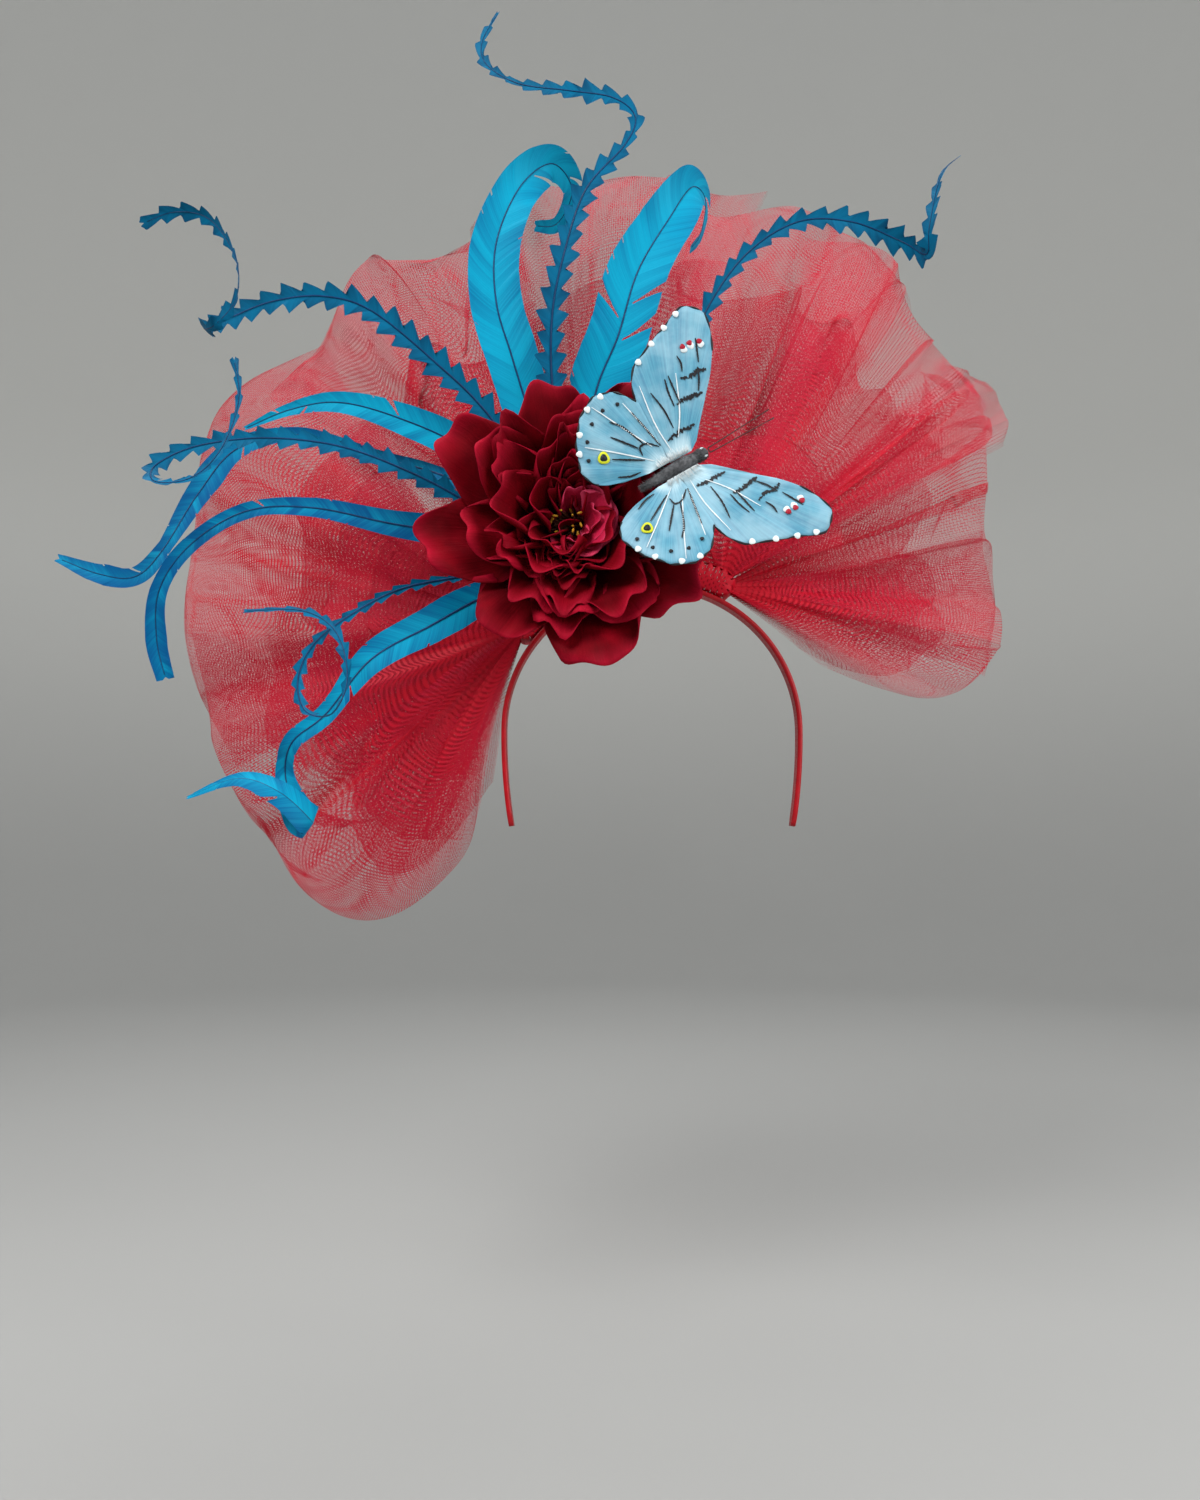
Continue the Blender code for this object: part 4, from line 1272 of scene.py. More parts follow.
@dataclass
class Feather:
    """A feather glued to the base disc: two blades of barbs on a tapered quill."""

    name: str
    trim: Trim
    reach: float
    half_width: float
    root_turn: float
    layer: int
    route: tuple[Triple, ...]
    widths: tuple[Place, ...]
    splits: int = 2
    shade: float = 0.0
    twist: float = 0.0

    FULL_REACH = 285.0 * MM
    FULL_HALF_WIDTH = 16.0 * MM
    BLADE_WALL = 0.8 * MM
    ROOT_PLACE = 0.6
    ROOT_BEND = 0.35
    LAYER_STEP = 2.2 * MM
    TWIST_START, TWIST_RUN = 0.66, 0.14
    ROOT_TAPER = ((0.0, 0.05), (0.1, 1.0))
    LEAST_WHOLE, LEAST_TOOTHED = 1.0 * MM, 0.9 * MM
    TOOTH_PITCH = 11.0 * MM
    TOOTH_VALLEY = 0.34
    TOOTH_PEAK, TOOTH_FOOT = 0.85, 0.97
    TOOTH_VARIETY = 0.16
    BARE_TEETH, BARE_WIDTH = 2.0, 0.35
    WHOLE_PITCH, TOOTHED_PITCH = 0.8 * MM, 0.55 * MM
    KEEL = 0.15
    BARB_LEAD = 0.95
    CLUMP_SIZES = (4, 15)
    SWING, SINK, CUT = 0.018, 0.12 * MM, 0.02
    STIFF_SWING, STIFF_CUT = 0.2, 0.15
    SPLIT_LEAD, SPLIT_ROWS, SPLIT_FROM = 0.2, 7.0, 0.15
    PARTED_FROM, PARTED_TO = 0.85, 2.2
    TIP_SHADE = 0.25
    QUILL_RADIUS = 0.75 * MM
    QUILL_LIFT = 0.15 * MM
    QUILL_TAPER = ((0.0, 0.3, 1.0), (1.0, 0.6, 0.22))
    COLUMNS = 8

    def line(self) -> Line:
        """Bends the quill, and twists its frame where the tip curls.

        Returns:
            The quill's curve.
        """
        out = ray(self.root_turn)
        root = BASE_CENTRE - BACK * (SEAT_GAP + self.BLADE_WALL / 2) + out * BASE_RADIUS * self.ROOT_PLACE
        bend = root + out * BASE_RADIUS * self.ROOT_BEND - BACK * self.layer * self.LAYER_STEP
        rows = [BASE_CENTRE + np.array(row) * self.FULL_REACH * self.reach for row in self.route]
        line = Line.through([root, bend, *rows], -BACK)
        twisted = (np.linspace(0, 1, len(line.points)) - self.TWIST_START) / self.TWIST_RUN
        turn = np.radians(self.twist) * np.clip(twisted, 0, 1)[:, None]
        normals = line.normals * np.cos(turn) + line.sides * np.sin(turn)
        sides = line.sides * np.cos(turn) - line.normals * np.sin(turn)
        return Line(line.points, sides, normals, line.length)

    def half(self, share: Array, length: float) -> Array:
        """Finds the half width of the blade.

        Args:
            share: Where, in shares of the quill's length.
            length: The quill's length.

        Returns:
            The half widths.
        """
        full = self.FULL_HALF_WIDTH * self.half_width * np.interp(share, *zip(*self.widths))
        if self.trim is Trim.WHOLE:
            return np.maximum(full * np.interp(share, *self.ROOT_TAPER), self.LEAST_WHOLE)
        teeth = round(length / self.TOOTH_PITCH)
        tooth = share * (teeth + self.BARE_TEETH) - self.BARE_TEETH
        peak = 1 + self.TOOTH_VARIETY * np.sin(2.3 * np.floor(tooth) + self.root_turn)
        low = self.TOOTH_VALLEY
        places = (0.0, self.TOOTH_PEAK, self.TOOTH_FOOT, 1.0)
        rise = np.interp(np.mod(tooth, 1.0), places, (low, 1.0, low, low))
        bare = np.where(tooth < 0, self.BARE_WIDTH, low + (rise - low) * peak)
        return np.maximum(full * bare, self.LEAST_TOOTHED)

    def blade(self, line: Line, hand: Hand, rng: np.random.Generator, form: Form) -> None:
        """Adds the barbs of one side.

        Args:
            line: The quill's curve.
            hand: The side.
            rng: Source of the clumps and splits.
            form: What the faces go into.
        """
        whole = self.trim is Trim.WHOLE
        rows = round(line.length / (self.WHOLE_PITCH if whole else self.TOOTHED_PITCH))
        roots = np.linspace(0, 0.995, rows)
        share = np.linspace(0, 1, self.COLUMNS)[None, :]
        clump = np.repeat(np.arange(rows), rng.integers(*self.CLUMP_SIZES, rows))[:rows]
        count = clump.max() + 1
        swing, tone = rng.normal(0, self.SWING, count)[clump], rng.uniform(0, 1, count)[clump]
        sink, cut = rng.normal(0, self.SINK, count)[clump], rng.uniform(0, self.CUT, count)[clump]
        opening = np.zeros(rows)
        if whole:
            for place in rng.uniform(0.15, 0.9, self.splits):
                offset = np.arange(rows) - place * rows
                opening += np.sign(offset) * self.SPLIT_LEAD * np.exp(-np.abs(offset) / self.SPLIT_ROWS)
        else:
            swing, cut = swing * self.STIFF_SWING, cut * self.STIFF_CUT
        lead = (self.BARB_LEAD + swing)[:, None] * share + opening[:, None] * share**2
        root_half = self.half(roots, line.length)
        station = np.clip(roots[:, None] + lead * (root_half / line.length)[:, None], 0, 1)
        width = self.half(station[:, -1], line.length) * (1 - cut)
        width = width[:, None] * share**0.92
        points, sides, normals = line.at(station)
        keel = self.KEEL * width + sink[:, None] * share
        points = points + hand.value * sides * width[..., None] + normals * keel[..., None]
        joined = clump[1:] == clump[:-1]
        parted = np.where(joined, self.PARTED_TO, rng.uniform(self.PARTED_FROM, self.PARTED_TO, rows - 1))
        split = np.abs(np.diff(opening)) > self.SPLIT_FROM
        parted = np.where(split, self.SPLIT_FROM, parted)
        keep = (share[:, 1:] < parted[:, None]) | (not whole)
        run = np.broadcast_to(roots[:, None] * line.length, width.shape)
        plan = np.stack([width, run], -1)
        shade = self.shade + self.TIP_SHADE * share
        form.grid(points, plan=plan, keep=keep, clump=tone[:, None], shade=shade)

    def build(self, looks: Wardrobe, seed: int) -> None:
        """Builds and dresses the blades and the quill.

        Args:
            looks: The finishes.
            seed: The feather's own seed.
        """
        rng = np.random.default_rng(seed)
        line = self.line()
        barbs = Form()
        for hand in Hand:
            self.blade(line, hand, rng, barbs)
        look, slot = (looks.plume, "plume") if self.trim is Trim.WHOLE else (looks.spire, "spire")
        barbs.finish(f"{self.name}_barbs", look, slot, self.name)
        quill = Form()
        share = np.linspace(0, 0.99, 120)
        points, _, normals = line.at(share)
        radii = np.interp(share, *self.QUILL_TAPER) * self.QUILL_RADIUS
        quill.tube(points + normals * self.QUILL_LIFT, radii, 8)
        quill.finish(f"{self.name}_quill", looks.quill, slot)


FEATHERS = (
    Feather("spire_top", Trim.TOOTHED, 1.0, 0.531, 98.0, 3,
            ((-0.04, -0.05, 0.28), (-0.04, -0.08, 0.40), (-0.02, -0.10, 0.50), (0.02, -0.11, 0.62),
             (0.09, -0.10, 0.71), (0.11, -0.09, 0.77), (0.07, -0.10, 0.80), (-0.01, -0.12, 0.80),
             (-0.10, -0.11, 0.82), (-0.16, -0.09, 0.87), (-0.17, -0.08, 0.92), (-0.14, -0.07, 0.99)),
            ((0.0, 0.9), (0.25, 1.0), (0.50, 0.85), (0.60, 0.45), (0.72, 0.8), (0.84, 0.25), (0.93, 0.5),
             (1.0, 0.1))),
    Feather("spire_left_high", Trim.TOOTHED, 0.912, 0.562, 124.0, 3,
            ((-0.17, -0.06, 0.25), (-0.27, -0.10, 0.34), (-0.39, -0.13, 0.43), (-0.48, -0.15, 0.45),
             (-0.57, -0.17, 0.43), (-0.64, -0.19, 0.39), (-0.67, -0.25, 0.34), (-0.63, -0.31, 0.32),
             (-0.60, -0.29, 0.38), (-0.62, -0.24, 0.48), (-0.68, -0.21, 0.57), (-0.75, -0.20, 0.59),
             (-0.81, -0.21, 0.56)),
            ((0.0, 0.9), (0.30, 1.0), (0.50, 0.75), (0.65, 0.6), (0.80, 0.2), (0.90, 0.6), (1.0, 0.4)),
            twist=75.0),
    Feather("spire_right", Trim.TOOTHED, 0.947, 0.469, 54.0, 2,
            ((0.20, -0.04, 0.28), (0.24, -0.06, 0.42), (0.32, -0.08, 0.54), (0.42, -0.10, 0.60),
             (0.52, -0.12, 0.59), (0.61, -0.14, 0.54), (0.64, -0.19, 0.49), (0.64, -0.21, 0.53),
             (0.67, -0.19, 0.64), (0.71, -0.19, 0.68)),
            ((0.0, 0.7), (0.25, 0.8), (0.50, 0.7), (0.70, 1.0), (0.85, 0.9), (1.0, 0.1)), twist=50.0),
    Feather("spire_left_middle", Trim.TOOTHED, 0.737, 0.438, 170.0, 2,
            ((-0.26, -0.08, 0.09), (-0.39, -0.12, 0.15), (-0.55, -0.16, 0.20), (-0.72, -0.19, 0.21),
             (-0.87, -0.22, 0.18), (-0.95, -0.26, 0.12), (-0.92, -0.33, 0.06), (-0.84, -0.33, 0.07),
             (-0.79, -0.29, 0.15), (-0.76, -0.27, 0.27), (-0.78, -0.25, 0.38)),
            ((0.0, 0.8), (0.25, 1.0), (0.55, 0.8), (0.70, 0.7), (0.80, 0.3), (1.0, 0.3)), twist=70.0),
    Feather("spire_coil", Trim.TOOTHED, 0.596, 0.281, 200.0, 2,
            ((-0.32, -0.05, -0.10), (-0.51, -0.13, -0.16), (-0.65, -0.21, -0.26), (-0.73, -0.29, -0.36),
             (-0.75, -0.36, -0.47), (-0.71, -0.42, -0.56), (-0.63, -0.46, -0.57), (-0.60, -0.42, -0.47),
             (-0.65, -0.35, -0.33), (-0.76, -0.30, -0.26), (-0.93, -0.29, -0.26)),
            ((0.0, 0.5), (0.20, 0.7), (0.45, 0.7), (0.65, 1.0), (0.85, 0.7), (1.0, 0.2)), twist=60.0),
    Feather("plume_top", Trim.WHOLE, 0.719, 0.875, 112.0, 1,
            ((-0.12, -0.03, 0.35), (-0.16, -0.05, 0.48), (-0.20, -0.06, 0.62), (-0.20, -0.07, 0.77),
             (-0.14, -0.07, 0.92), (-0.06, -0.04, 1.00), (-0.01, 0.03, 0.97), (-0.05, 0.07, 0.90),
             (-0.11, 0.03, 0.87)),
            ((0.0, 0.5), (0.15, 0.9), (0.35, 1.0), (0.55, 0.95), (0.75, 0.75), (0.9, 0.4), (1.0, 0.2)),
            1, twist=50.0),
    Feather("plume_top_right", Trim.WHOLE, 0.719, 1.0, 80.0, 0,
            ((0.05, -0.03, 0.38), (0.11, -0.06, 0.53), (0.16, -0.08, 0.69), (0.24, -0.08, 0.83),
             (0.30, -0.05, 0.93), (0.34, 0.01, 0.93), (0.33, 0.05, 0.86), (0.30, 0.04, 0.81)),
            ((0.0, 0.4), (0.12, 0.8), (0.35, 1.0), (0.55, 1.0), (0.75, 0.8), (0.9, 0.5), (1.0, 0.2)),
            3, twist=30.0),
    Feather("plume_left_high", Trim.WHOLE, 0.632, 0.625, 140.0, 0,
            ((-0.32, -0.03, 0.28), (-0.50, -0.06, 0.36), (-0.67, -0.08, 0.40), (-0.81, -0.08, 0.38),
             (-0.95, -0.06, 0.33)),
            ((0.0, 0.6), (0.25, 1.0), (0.5, 0.85), (0.75, 0.5), (1.0, 0.1)), 2),
    Feather("plume_left_long", Trim.WHOLE, 0.754, 0.562, 185.0, 1,
            ((-0.29, -0.05, 0.02), (-0.43, -0.10, 0.03), (-0.60, -0.16, 0.05), (-0.74, -0.20, 0.03),
             (-0.86, -0.21, -0.05), (-0.93, -0.20, -0.15), (-0.94, -0.18, -0.26), (-0.92, -0.17, -0.35)),
            ((0.0, 0.7), (0.15, 1.0), (0.35, 0.7), (0.55, 0.45), (0.8, 0.45), (0.92, 0.6), (1.0, 0.5)),
            1, 0.45),
    Feather("plume_left_fork", Trim.WHOLE, 0.895, 0.438, 161.0, 0,
            ((-0.25, 0.00, 0.14), (-0.42, 0.03, 0.20), (-0.58, 0.04, 0.25), (-0.70, 0.01, 0.21),
             (-0.76, -0.04, 0.10), (-0.81, -0.09, -0.03), (-0.85, -0.12, -0.09), (-0.91, -0.14, -0.09),
             (-0.99, -0.15, -0.06)),
            ((0.0, 0.4), (0.25, 0.6), (0.5, 0.6), (0.65, 1.0), (0.8, 0.5), (0.92, 0.8), (1.0, 0.3)),
            1, 0.4),
    Feather("plume_low", Trim.WHOLE, 0.807, 0.625, 214.0, 0,
            ((-0.21, -0.05, -0.13), (-0.31, -0.10, -0.20), (-0.43, -0.14, -0.28), (-0.52, -0.16, -0.40),
             (-0.59, -0.16, -0.46), (-0.61, -0.13, -0.53), (-0.57, -0.17, -0.61), (-0.53, -0.21, -0.63),
             (-0.59, -0.24, -0.57), (-0.68, -0.23, -0.54), (-0.79, -0.22, -0.58)),
            ((0.0, 0.6), (0.2, 1.0), (0.35, 0.8), (0.45, 0.5), (0.6, 0.45), (0.72, 0.9), (0.85, 0.7),
             (1.0, 0.1)), 1, 0.2),
)


# Peony


@dataclass(frozen=True)
class Ring:
    """One ring of petals, with its angles in degrees and the rest as shares of the peony's sizes."""

    name: str
    petals: int
    turn: float
    fan: float
    root_radius: float
    root_height: float
    slope: float
    curl: float
    reach: float
    cup: float
    tilt: float


@dataclass(frozen=True)
class Ruffle:
    """A kind of loose petal.

    Its number of petals, turn, slope, curl and cup are ranges. Its root radius, root height and reach are
    each a value near the axis and how much that changes for the petals that lie farthest out.
    """

    name: str
    count: int
    petals: tuple[int, int]
    turn: Place
    root_radius: Place
    root_height: Place
    slope: Place
    slope_drop: float
    curl: Place
    reach: Place
    cup: Place
    tilt: float

    def ring(self, rng: np.random.Generator) -> Ring:
        """Draws one loose petal.

        Args:
            rng: Source of its sizes.

        Returns:
            The ring that it would be part of.
        """
        far = rng.uniform(0, 1)
        radius, height, reach = (
            near + change * far for near, change in (self.root_radius, self.root_height, self.reach)
        )
        return Ring(
            self.name, int(rng.integers(*self.petals)), rng.uniform(*self.turn), 360.0, radius, height,
            rng.uniform(*self.slope) - self.slope_drop * far, rng.uniform(*self.curl), reach,
            rng.uniform(*self.cup), rng.uniform(-self.tilt, self.tilt),
        )


@dataclass
class Peony:
    """The velvet peony: its stem, five rings of petals, and the stamens in its eye."""

    reach: float = 75.0 * MM
    root_radius: float = 12.0 * MM
    heart_height: float = 17.0 * MM
    cup: float = 3.0 * MM
    tilt: float = 2.2 * MM
    tilt_ramp: float = 0.25
    stem_radius: float = 5.5 * MM
    stem_neck: float = 4.0 * MM
    standoff: float = 12.0 * MM
    pitch: float = 4.0
    wall: float = 0.35 * MM
    variety: float = 0.07
    rounding: float = 0.16
    clearance: float = 0.75 * MM
    eye_rise: float = 2.0 * MM
    rows: int = 34
    columns: int = 30
    filaments: int = 90
    rings: tuple[Ring, ...] = (
        Ring("guard", 8, 12.0, 360.0, 1.0, 0.118, 37.0, -6.0, 1.0, 0.67, 1.0),
        Ring("outer", 7, 40.0, 360.0, 0.875, 0.324, 44.0, 6.0, 0.827, 1.0, 1.0),
        Ring("middle", 5, 100.0, 360.0, 0.75, 0.529, 53.0, 14.0, 0.693, 1.0, 0.91),
        Ring("inner", 4, 150.0, 360.0, 0.625, 0.735, 60.0, 18.0, 0.547, 0.83, 0.91),
        Ring("heart", 3, -72.0, 240.0, 0.5, 1.0, 72.0, 4.0, 0.32, 0.33, 0.68),
    )
    ruffle_kinds: tuple[Ruffle, ...] = (
        Ruffle("ruffle", 22, (5, 9), (60, 290), (0.45, 0.5), (0.95, -0.35), (52, 74), 14.0, (-25, 35),
               (0.30, 0.26), (0.8, 2.6), 2.6),
        Ruffle("frill", 26, (7, 11), (0, 360), (0.7, 0.28), (0.62, -0.42), (56, 66), 20.0, (-12, 22),
               (0.55, 0.36), (1.0, 2.4), 2.0),
    )
    pink_places: tuple[Place, ...] = (
        (-62.0, 1.35), (-30.0, 1.1), (-8.0, 1.6), (22.0, 1.3), (52.0, 1.0), (-100.0, 1.0),
    )

    SLOPE_STEPS = 12
    LOBE_DEPTH, LOBE_PACE = 0.035, 2.5
    CORNER = 0.24
    HALF_WIDTHS = ((0.0, 0.35, 0.65, 0.88, 1.0), (0.75, 1.15, 1.34, 1.26, 1.0))
    WAVE, WAVE_PACES, WAVE_SHIFT = 3.2 * MM, (1.6, 2.6), 6.3
    CRINKLE = 1.3 * MM
    LIP_START, SIDE_LIP_START, SIDE_LIP = 0.82, 0.8, 0.6
    LIP_DEPTHS = (0.8, 2.4)
    TIP_RADIUS = 0.02 * MM
    STEM_ROWS, STEM_SIDES = 49, 48
    TAPE_BUMP, TAPE_RIDGES, TAPE_PITCH = 0.15 * MM, 3, 4
    DOME_RADIUS = 2.4 * MM
    FILAMENT_FOOT, FILAMENT_LENGTHS = 1.5 * MM, (8.0 * MM, 14.5 * MM)
    FILAMENT_LEAN, FILAMENT_BOW = 4.8 * MM, 2.0 * MM
    EYE_SHIFT = RIGHT * -3.0 * MM - UP * 1.5 * MM
    ANTHER_SHARE, ANTHER_LENGTHS = 0.16, (0.9 * MM, 1.6 * MM)
    ANTHER_RADII = np.array([0.25, 0.5, 0.62, 0.55, 0.62, 0.5, 0.25]) * MM

    def frame(self) -> tuple[Array, Array, Array]:
        """Finds the flower's own frame.

        Returns:
            Its origin, its up direction and the direction that it faces.
        """
        tilt = math.radians(self.pitch)
        up = np.array([0.0, math.sin(tilt), math.cos(tilt)])
        forward = np.array([0.0, -math.cos(tilt), math.sin(tilt)])
        return BASE_CENTRE - BACK * self.standoff, up, forward

    def place(self, radial: Array, turn: Array, height: Array) -> Array:
        """Turns coordinates round the flower's axis into points.

        Args:
            radial: Distances from the axis.
            turn: Angles round it in radians.
            height: Distances along it.

        Returns:
            The points.
        """
        origin, up, forward = self.frame()
        radial, turn, height = (np.asarray(value, float)[..., None] for value in (radial, turn, height))
        return origin + RIGHT * radial * np.cos(turn) + up * radial * np.sin(turn) + forward * height

    def petal_grid(
        self, ring: Ring, index: int, share: Array, across: Array, rng: np.random.Generator
    ) -> Array:
        """Finds the points of one petal.

        Args:
            ring: The ring it belongs to.
            index: Its number in the ring.
            share: From 0 at the root to 1 at the tip.
            across: From -1 at one edge to 1 at the other.
            rng: Source of the petal's waves.

        Returns:
            The points.
        """
        radial = np.full(share.shape, self.root_radius * ring.root_radius)
        height = np.full(share.shape, self.heart_height * ring.root_height)
        reach = self.reach * ring.reach * (1 + self.variety * math.sin(2.4 * index + ring.turn))
        notches = 1 + np.cos(math.pi * (self.LOBE_PACE * across + rng.uniform(0, 2)))
        round_off = self.rounding * across**2 * share + self.CORNER * np.abs(across) ** 3.5 * share**2
        run = reach * share * (1 - round_off) * (1 - self.LOBE_DEPTH * share**3 * notches)
        slope = np.zeros(share.shape)
        for i in range(self.SLOPE_STEPS):
            slope = np.radians(ring.slope + ring.curl * share * (i + 0.5) / self.SLOPE_STEPS)
            radial = radial + run * np.cos(slope) / self.SLOPE_STEPS
            height = height + run * np.sin(slope) / self.SLOPE_STEPS
        step = math.radians(ring.fan) / ring.petals
        lift = self.cup * ring.cup * across**2 * share
        lift = lift + self.tilt * ring.tilt * across * np.minimum(1.0, share / self.tilt_ramp)
        pace = rng.uniform(*self.WAVE_PACES)
        wave = np.sin(math.pi * pace * across + rng.uniform(0, self.WAVE_SHIFT))
        lift = lift + self.WAVE * ring.reach * share**2.5 * wave
        lift = lift + self.CRINKLE * ring.reach * share * ripple(across * 1.8, share * 2.5, rng)
        tip = np.clip((share - self.LIP_START) / (1 - self.LIP_START), 0, 1) ** 2
        side = np.clip((np.abs(across) - self.SIDE_LIP_START) / (1 - self.SIDE_LIP_START), 0, 1) ** 2
        lift = lift - rng.uniform(*self.LIP_DEPTHS) * MM * ring.reach * (tip + self.SIDE_LIP * side * share)
        half = np.interp(share, *self.HALF_WIDTHS) * step / 2
        turn = math.radians(ring.turn) + step * index + half * across
        return self.place(radial - lift * np.sin(slope), turn, height + lift * np.cos(slope))

    def petals(self, looks: Wardrobe) -> None:
        """Builds and dresses every petal that stands for a CAD node.

        Args:
            looks: The finishes.
        """
        share, across, plan = shares(self.rows, self.columns)
        # The rim mark places the painted highlight on the petal's edges and tip.
        rim = np.clip((np.maximum(share, np.abs(across)) - 0.86) / 0.14, 0, 1) ** 1.5
        for number, ring in enumerate(self.rings):
            heart = ring.name == "heart"
            look, slot = (looks.heart_petal, "heart_petal") if heart else (looks.petal, "petal")
            for index in range(ring.petals):
                rng = np.random.default_rng(100 * number + index)
                form = Form()
                points = self.petal_grid(ring, index, share, across, rng)
                form.grid(points, plan=plan, rim=rim * rng.uniform(0.5, 1.0))
                name = f"petal_{ring.name}_{index + 1}"
                form.finish(f"{name}_velvet", look, slot, name, self.wall)

    def ruffles(self, looks: Wardrobe) -> None:
        """Builds and dresses the small curled petals that fill the flower, and the pink ones by its eye.

        Args:
            looks: The finishes.
        """
        share, across, plan = shares(18, 16)
        # The rim mark places the painted highlight on the edges and tip.
        rim = np.clip((np.maximum(share, np.abs(across)) - 0.8) / 0.2, 0, 1)
        rng = np.random.default_rng(41)
        velvet, pink = Form(), Form()
        for kind in self.ruffle_kinds:
            for _ in range(kind.count):
                points = self.petal_grid(kind.ring(rng), 0, share, across, rng)
                velvet.grid(points, plan=plan, rim=rim * rng.uniform(0.3, 1.0))
        for turn, high in self.pink_places:
            ring = Ring(
                "pink", 3, turn, 360.0, 0.45, high, rng.uniform(34, 50), rng.uniform(-20, 20),
                rng.uniform(0.26, 0.32), rng.uniform(0.4, 1.2), rng.uniform(-1.2, 1.2),
            )
            pink.grid(self.petal_grid(ring, 0, share, across, rng), plan=plan, rim=rim)
        velvet.finish("ruffle_petals", looks.petal, "petal", wall=self.wall)
        pink.finish("pink_petals", looks.heart_petal, "heart_petal", wall=self.wall)

    def stem(self, looks: Wardrobe) -> None:
        """Builds and dresses the taped stem and the cone that the petals are wired to.

        Args:
            looks: The finishes.
        """
        lean = self.stem_radius * math.sin(math.radians(self.pitch))
        rows = [
            (self.stem_radius, SEAT_GAP + lean - self.standoff),
            (self.stem_radius, self.heart_height * self.rings[0].root_height - self.stem_neck),
        ]
        for ring in self.rings:
            radius = self.root_radius * ring.root_radius - self.clearance
            rows.append((radius, self.heart_height * ring.root_height - self.wall))
        rows.append((rows[-1][0], self.heart_height + self.eye_rise))
        shape = np.array([(self.TIP_RADIUS, rows[0][1]), *rows, (self.TIP_RADIUS, rows[-1][1])])
        at = np.linspace(0, len(shape) - 1, self.STEM_ROWS)
        radial, height = (np.interp(at, range(len(shape)), shape[:, k])[:, None] for k in (0, 1))
        turn = np.linspace(0, 2 * math.pi, self.STEM_SIDES, endpoint=False)[None, :]
        wrap = self.TAPE_BUMP * np.sin(turn * self.TAPE_RIDGES + at[:, None] * self.TAPE_PITCH)
        form = Form()
        form.grid(self.place(radial + wrap - self.TAPE_BUMP, turn, height), closed=True)
        form.finish("flower_stem_taped", looks.felt, "felt", "flower_stem")

    def stamens(self, looks: Wardrobe) -> None:
        """Builds and dresses the eye: a dark dome, brown filaments and gold anthers.

        Args:
            looks: The finishes.
        """
        rng = np.random.default_rng(7)
        foot = self.heart_height + self.eye_rise + SEAT_GAP
        threads, tips = Form(), Form()
        turn = np.linspace(0, 2 * math.pi, 24, endpoint=False)[None, :]
        bow = np.linspace(0.02, math.pi / 2, 9)[:, None]
        dome = self.place(self.DOME_RADIUS * np.sin(bow), turn, foot + self.DOME_RADIUS * np.cos(bow))
        threads.grid(dome, closed=True)
        t = np.linspace(0, 1, 7)
        for _ in range(self.filaments):
            angle, spread = rng.uniform(0, 2 * math.pi), rng.uniform(0.0, 1.0) ** 0.5
            length = rng.uniform(*self.FILAMENT_LENGTHS)
            away = self.FILAMENT_FOOT * spread + spread * self.FILAMENT_LEAN * t + self.FILAMENT_BOW * t**2
            twist = angle + 0.5 * t * rng.uniform(-1, 1)
            height = foot + self.FILAMENT_FOOT + length * t * (1 - 0.15 * t * spread)
            line = self.place(away, twist, height) + np.outer(t**1.5, self.EYE_SHIFT)
            threads.tube(line, np.linspace(0.24, 0.14, 7) * MM, 5)
            if rng.uniform() < self.ANTHER_SHARE:
                ahead, side = unit(line[-1] - line[-3]), unit(rng.normal(size=3))
                half = unit(side + ahead * 0.6) * rng.uniform(*self.ANTHER_LENGTHS)
                tips.tube(line[-1] + np.outer(np.linspace(-1, 1, 7), half), self.ANTHER_RADII, 7)
        threads.finish("stamen_filaments", looks.filament, "stamen", "stamens")
        tips.finish("stamen_anthers", looks.anther, "stamen")

    def build(self, looks: Wardrobe) -> None:
        """Builds and dresses the whole flower.

        Args:
            looks: The finishes.
        """
        for work in (self.stem, self.petals, self.ruffles, self.stamens):
            work(looks)


# Butterfly


class Paint(Enum):
    """The colours that the wings are painted in."""

    BLACK = "black"
    WHITE = "white"
    RED = "red"
    YELLOW = "yellow"


@dataclass(frozen=True)
class Stroke:
    """A kind of brush stroke, and its routes on a wing in shares of the wing length."""

    paint: Paint
    hind: bool
    width: float
    rough: float
    routes: tuple[tuple[Place, ...], ...]


@dataclass(frozen=True)
class Dot:
    """A kind of painted dot or ring, and its places on a wing in shares of the wing length."""

    paint: Paint
    hind: bool
    radius: float
    places: tuple[Place, ...]
    hole: float = 0.0
    stack: float = 0.0
    shift: float = 0.0


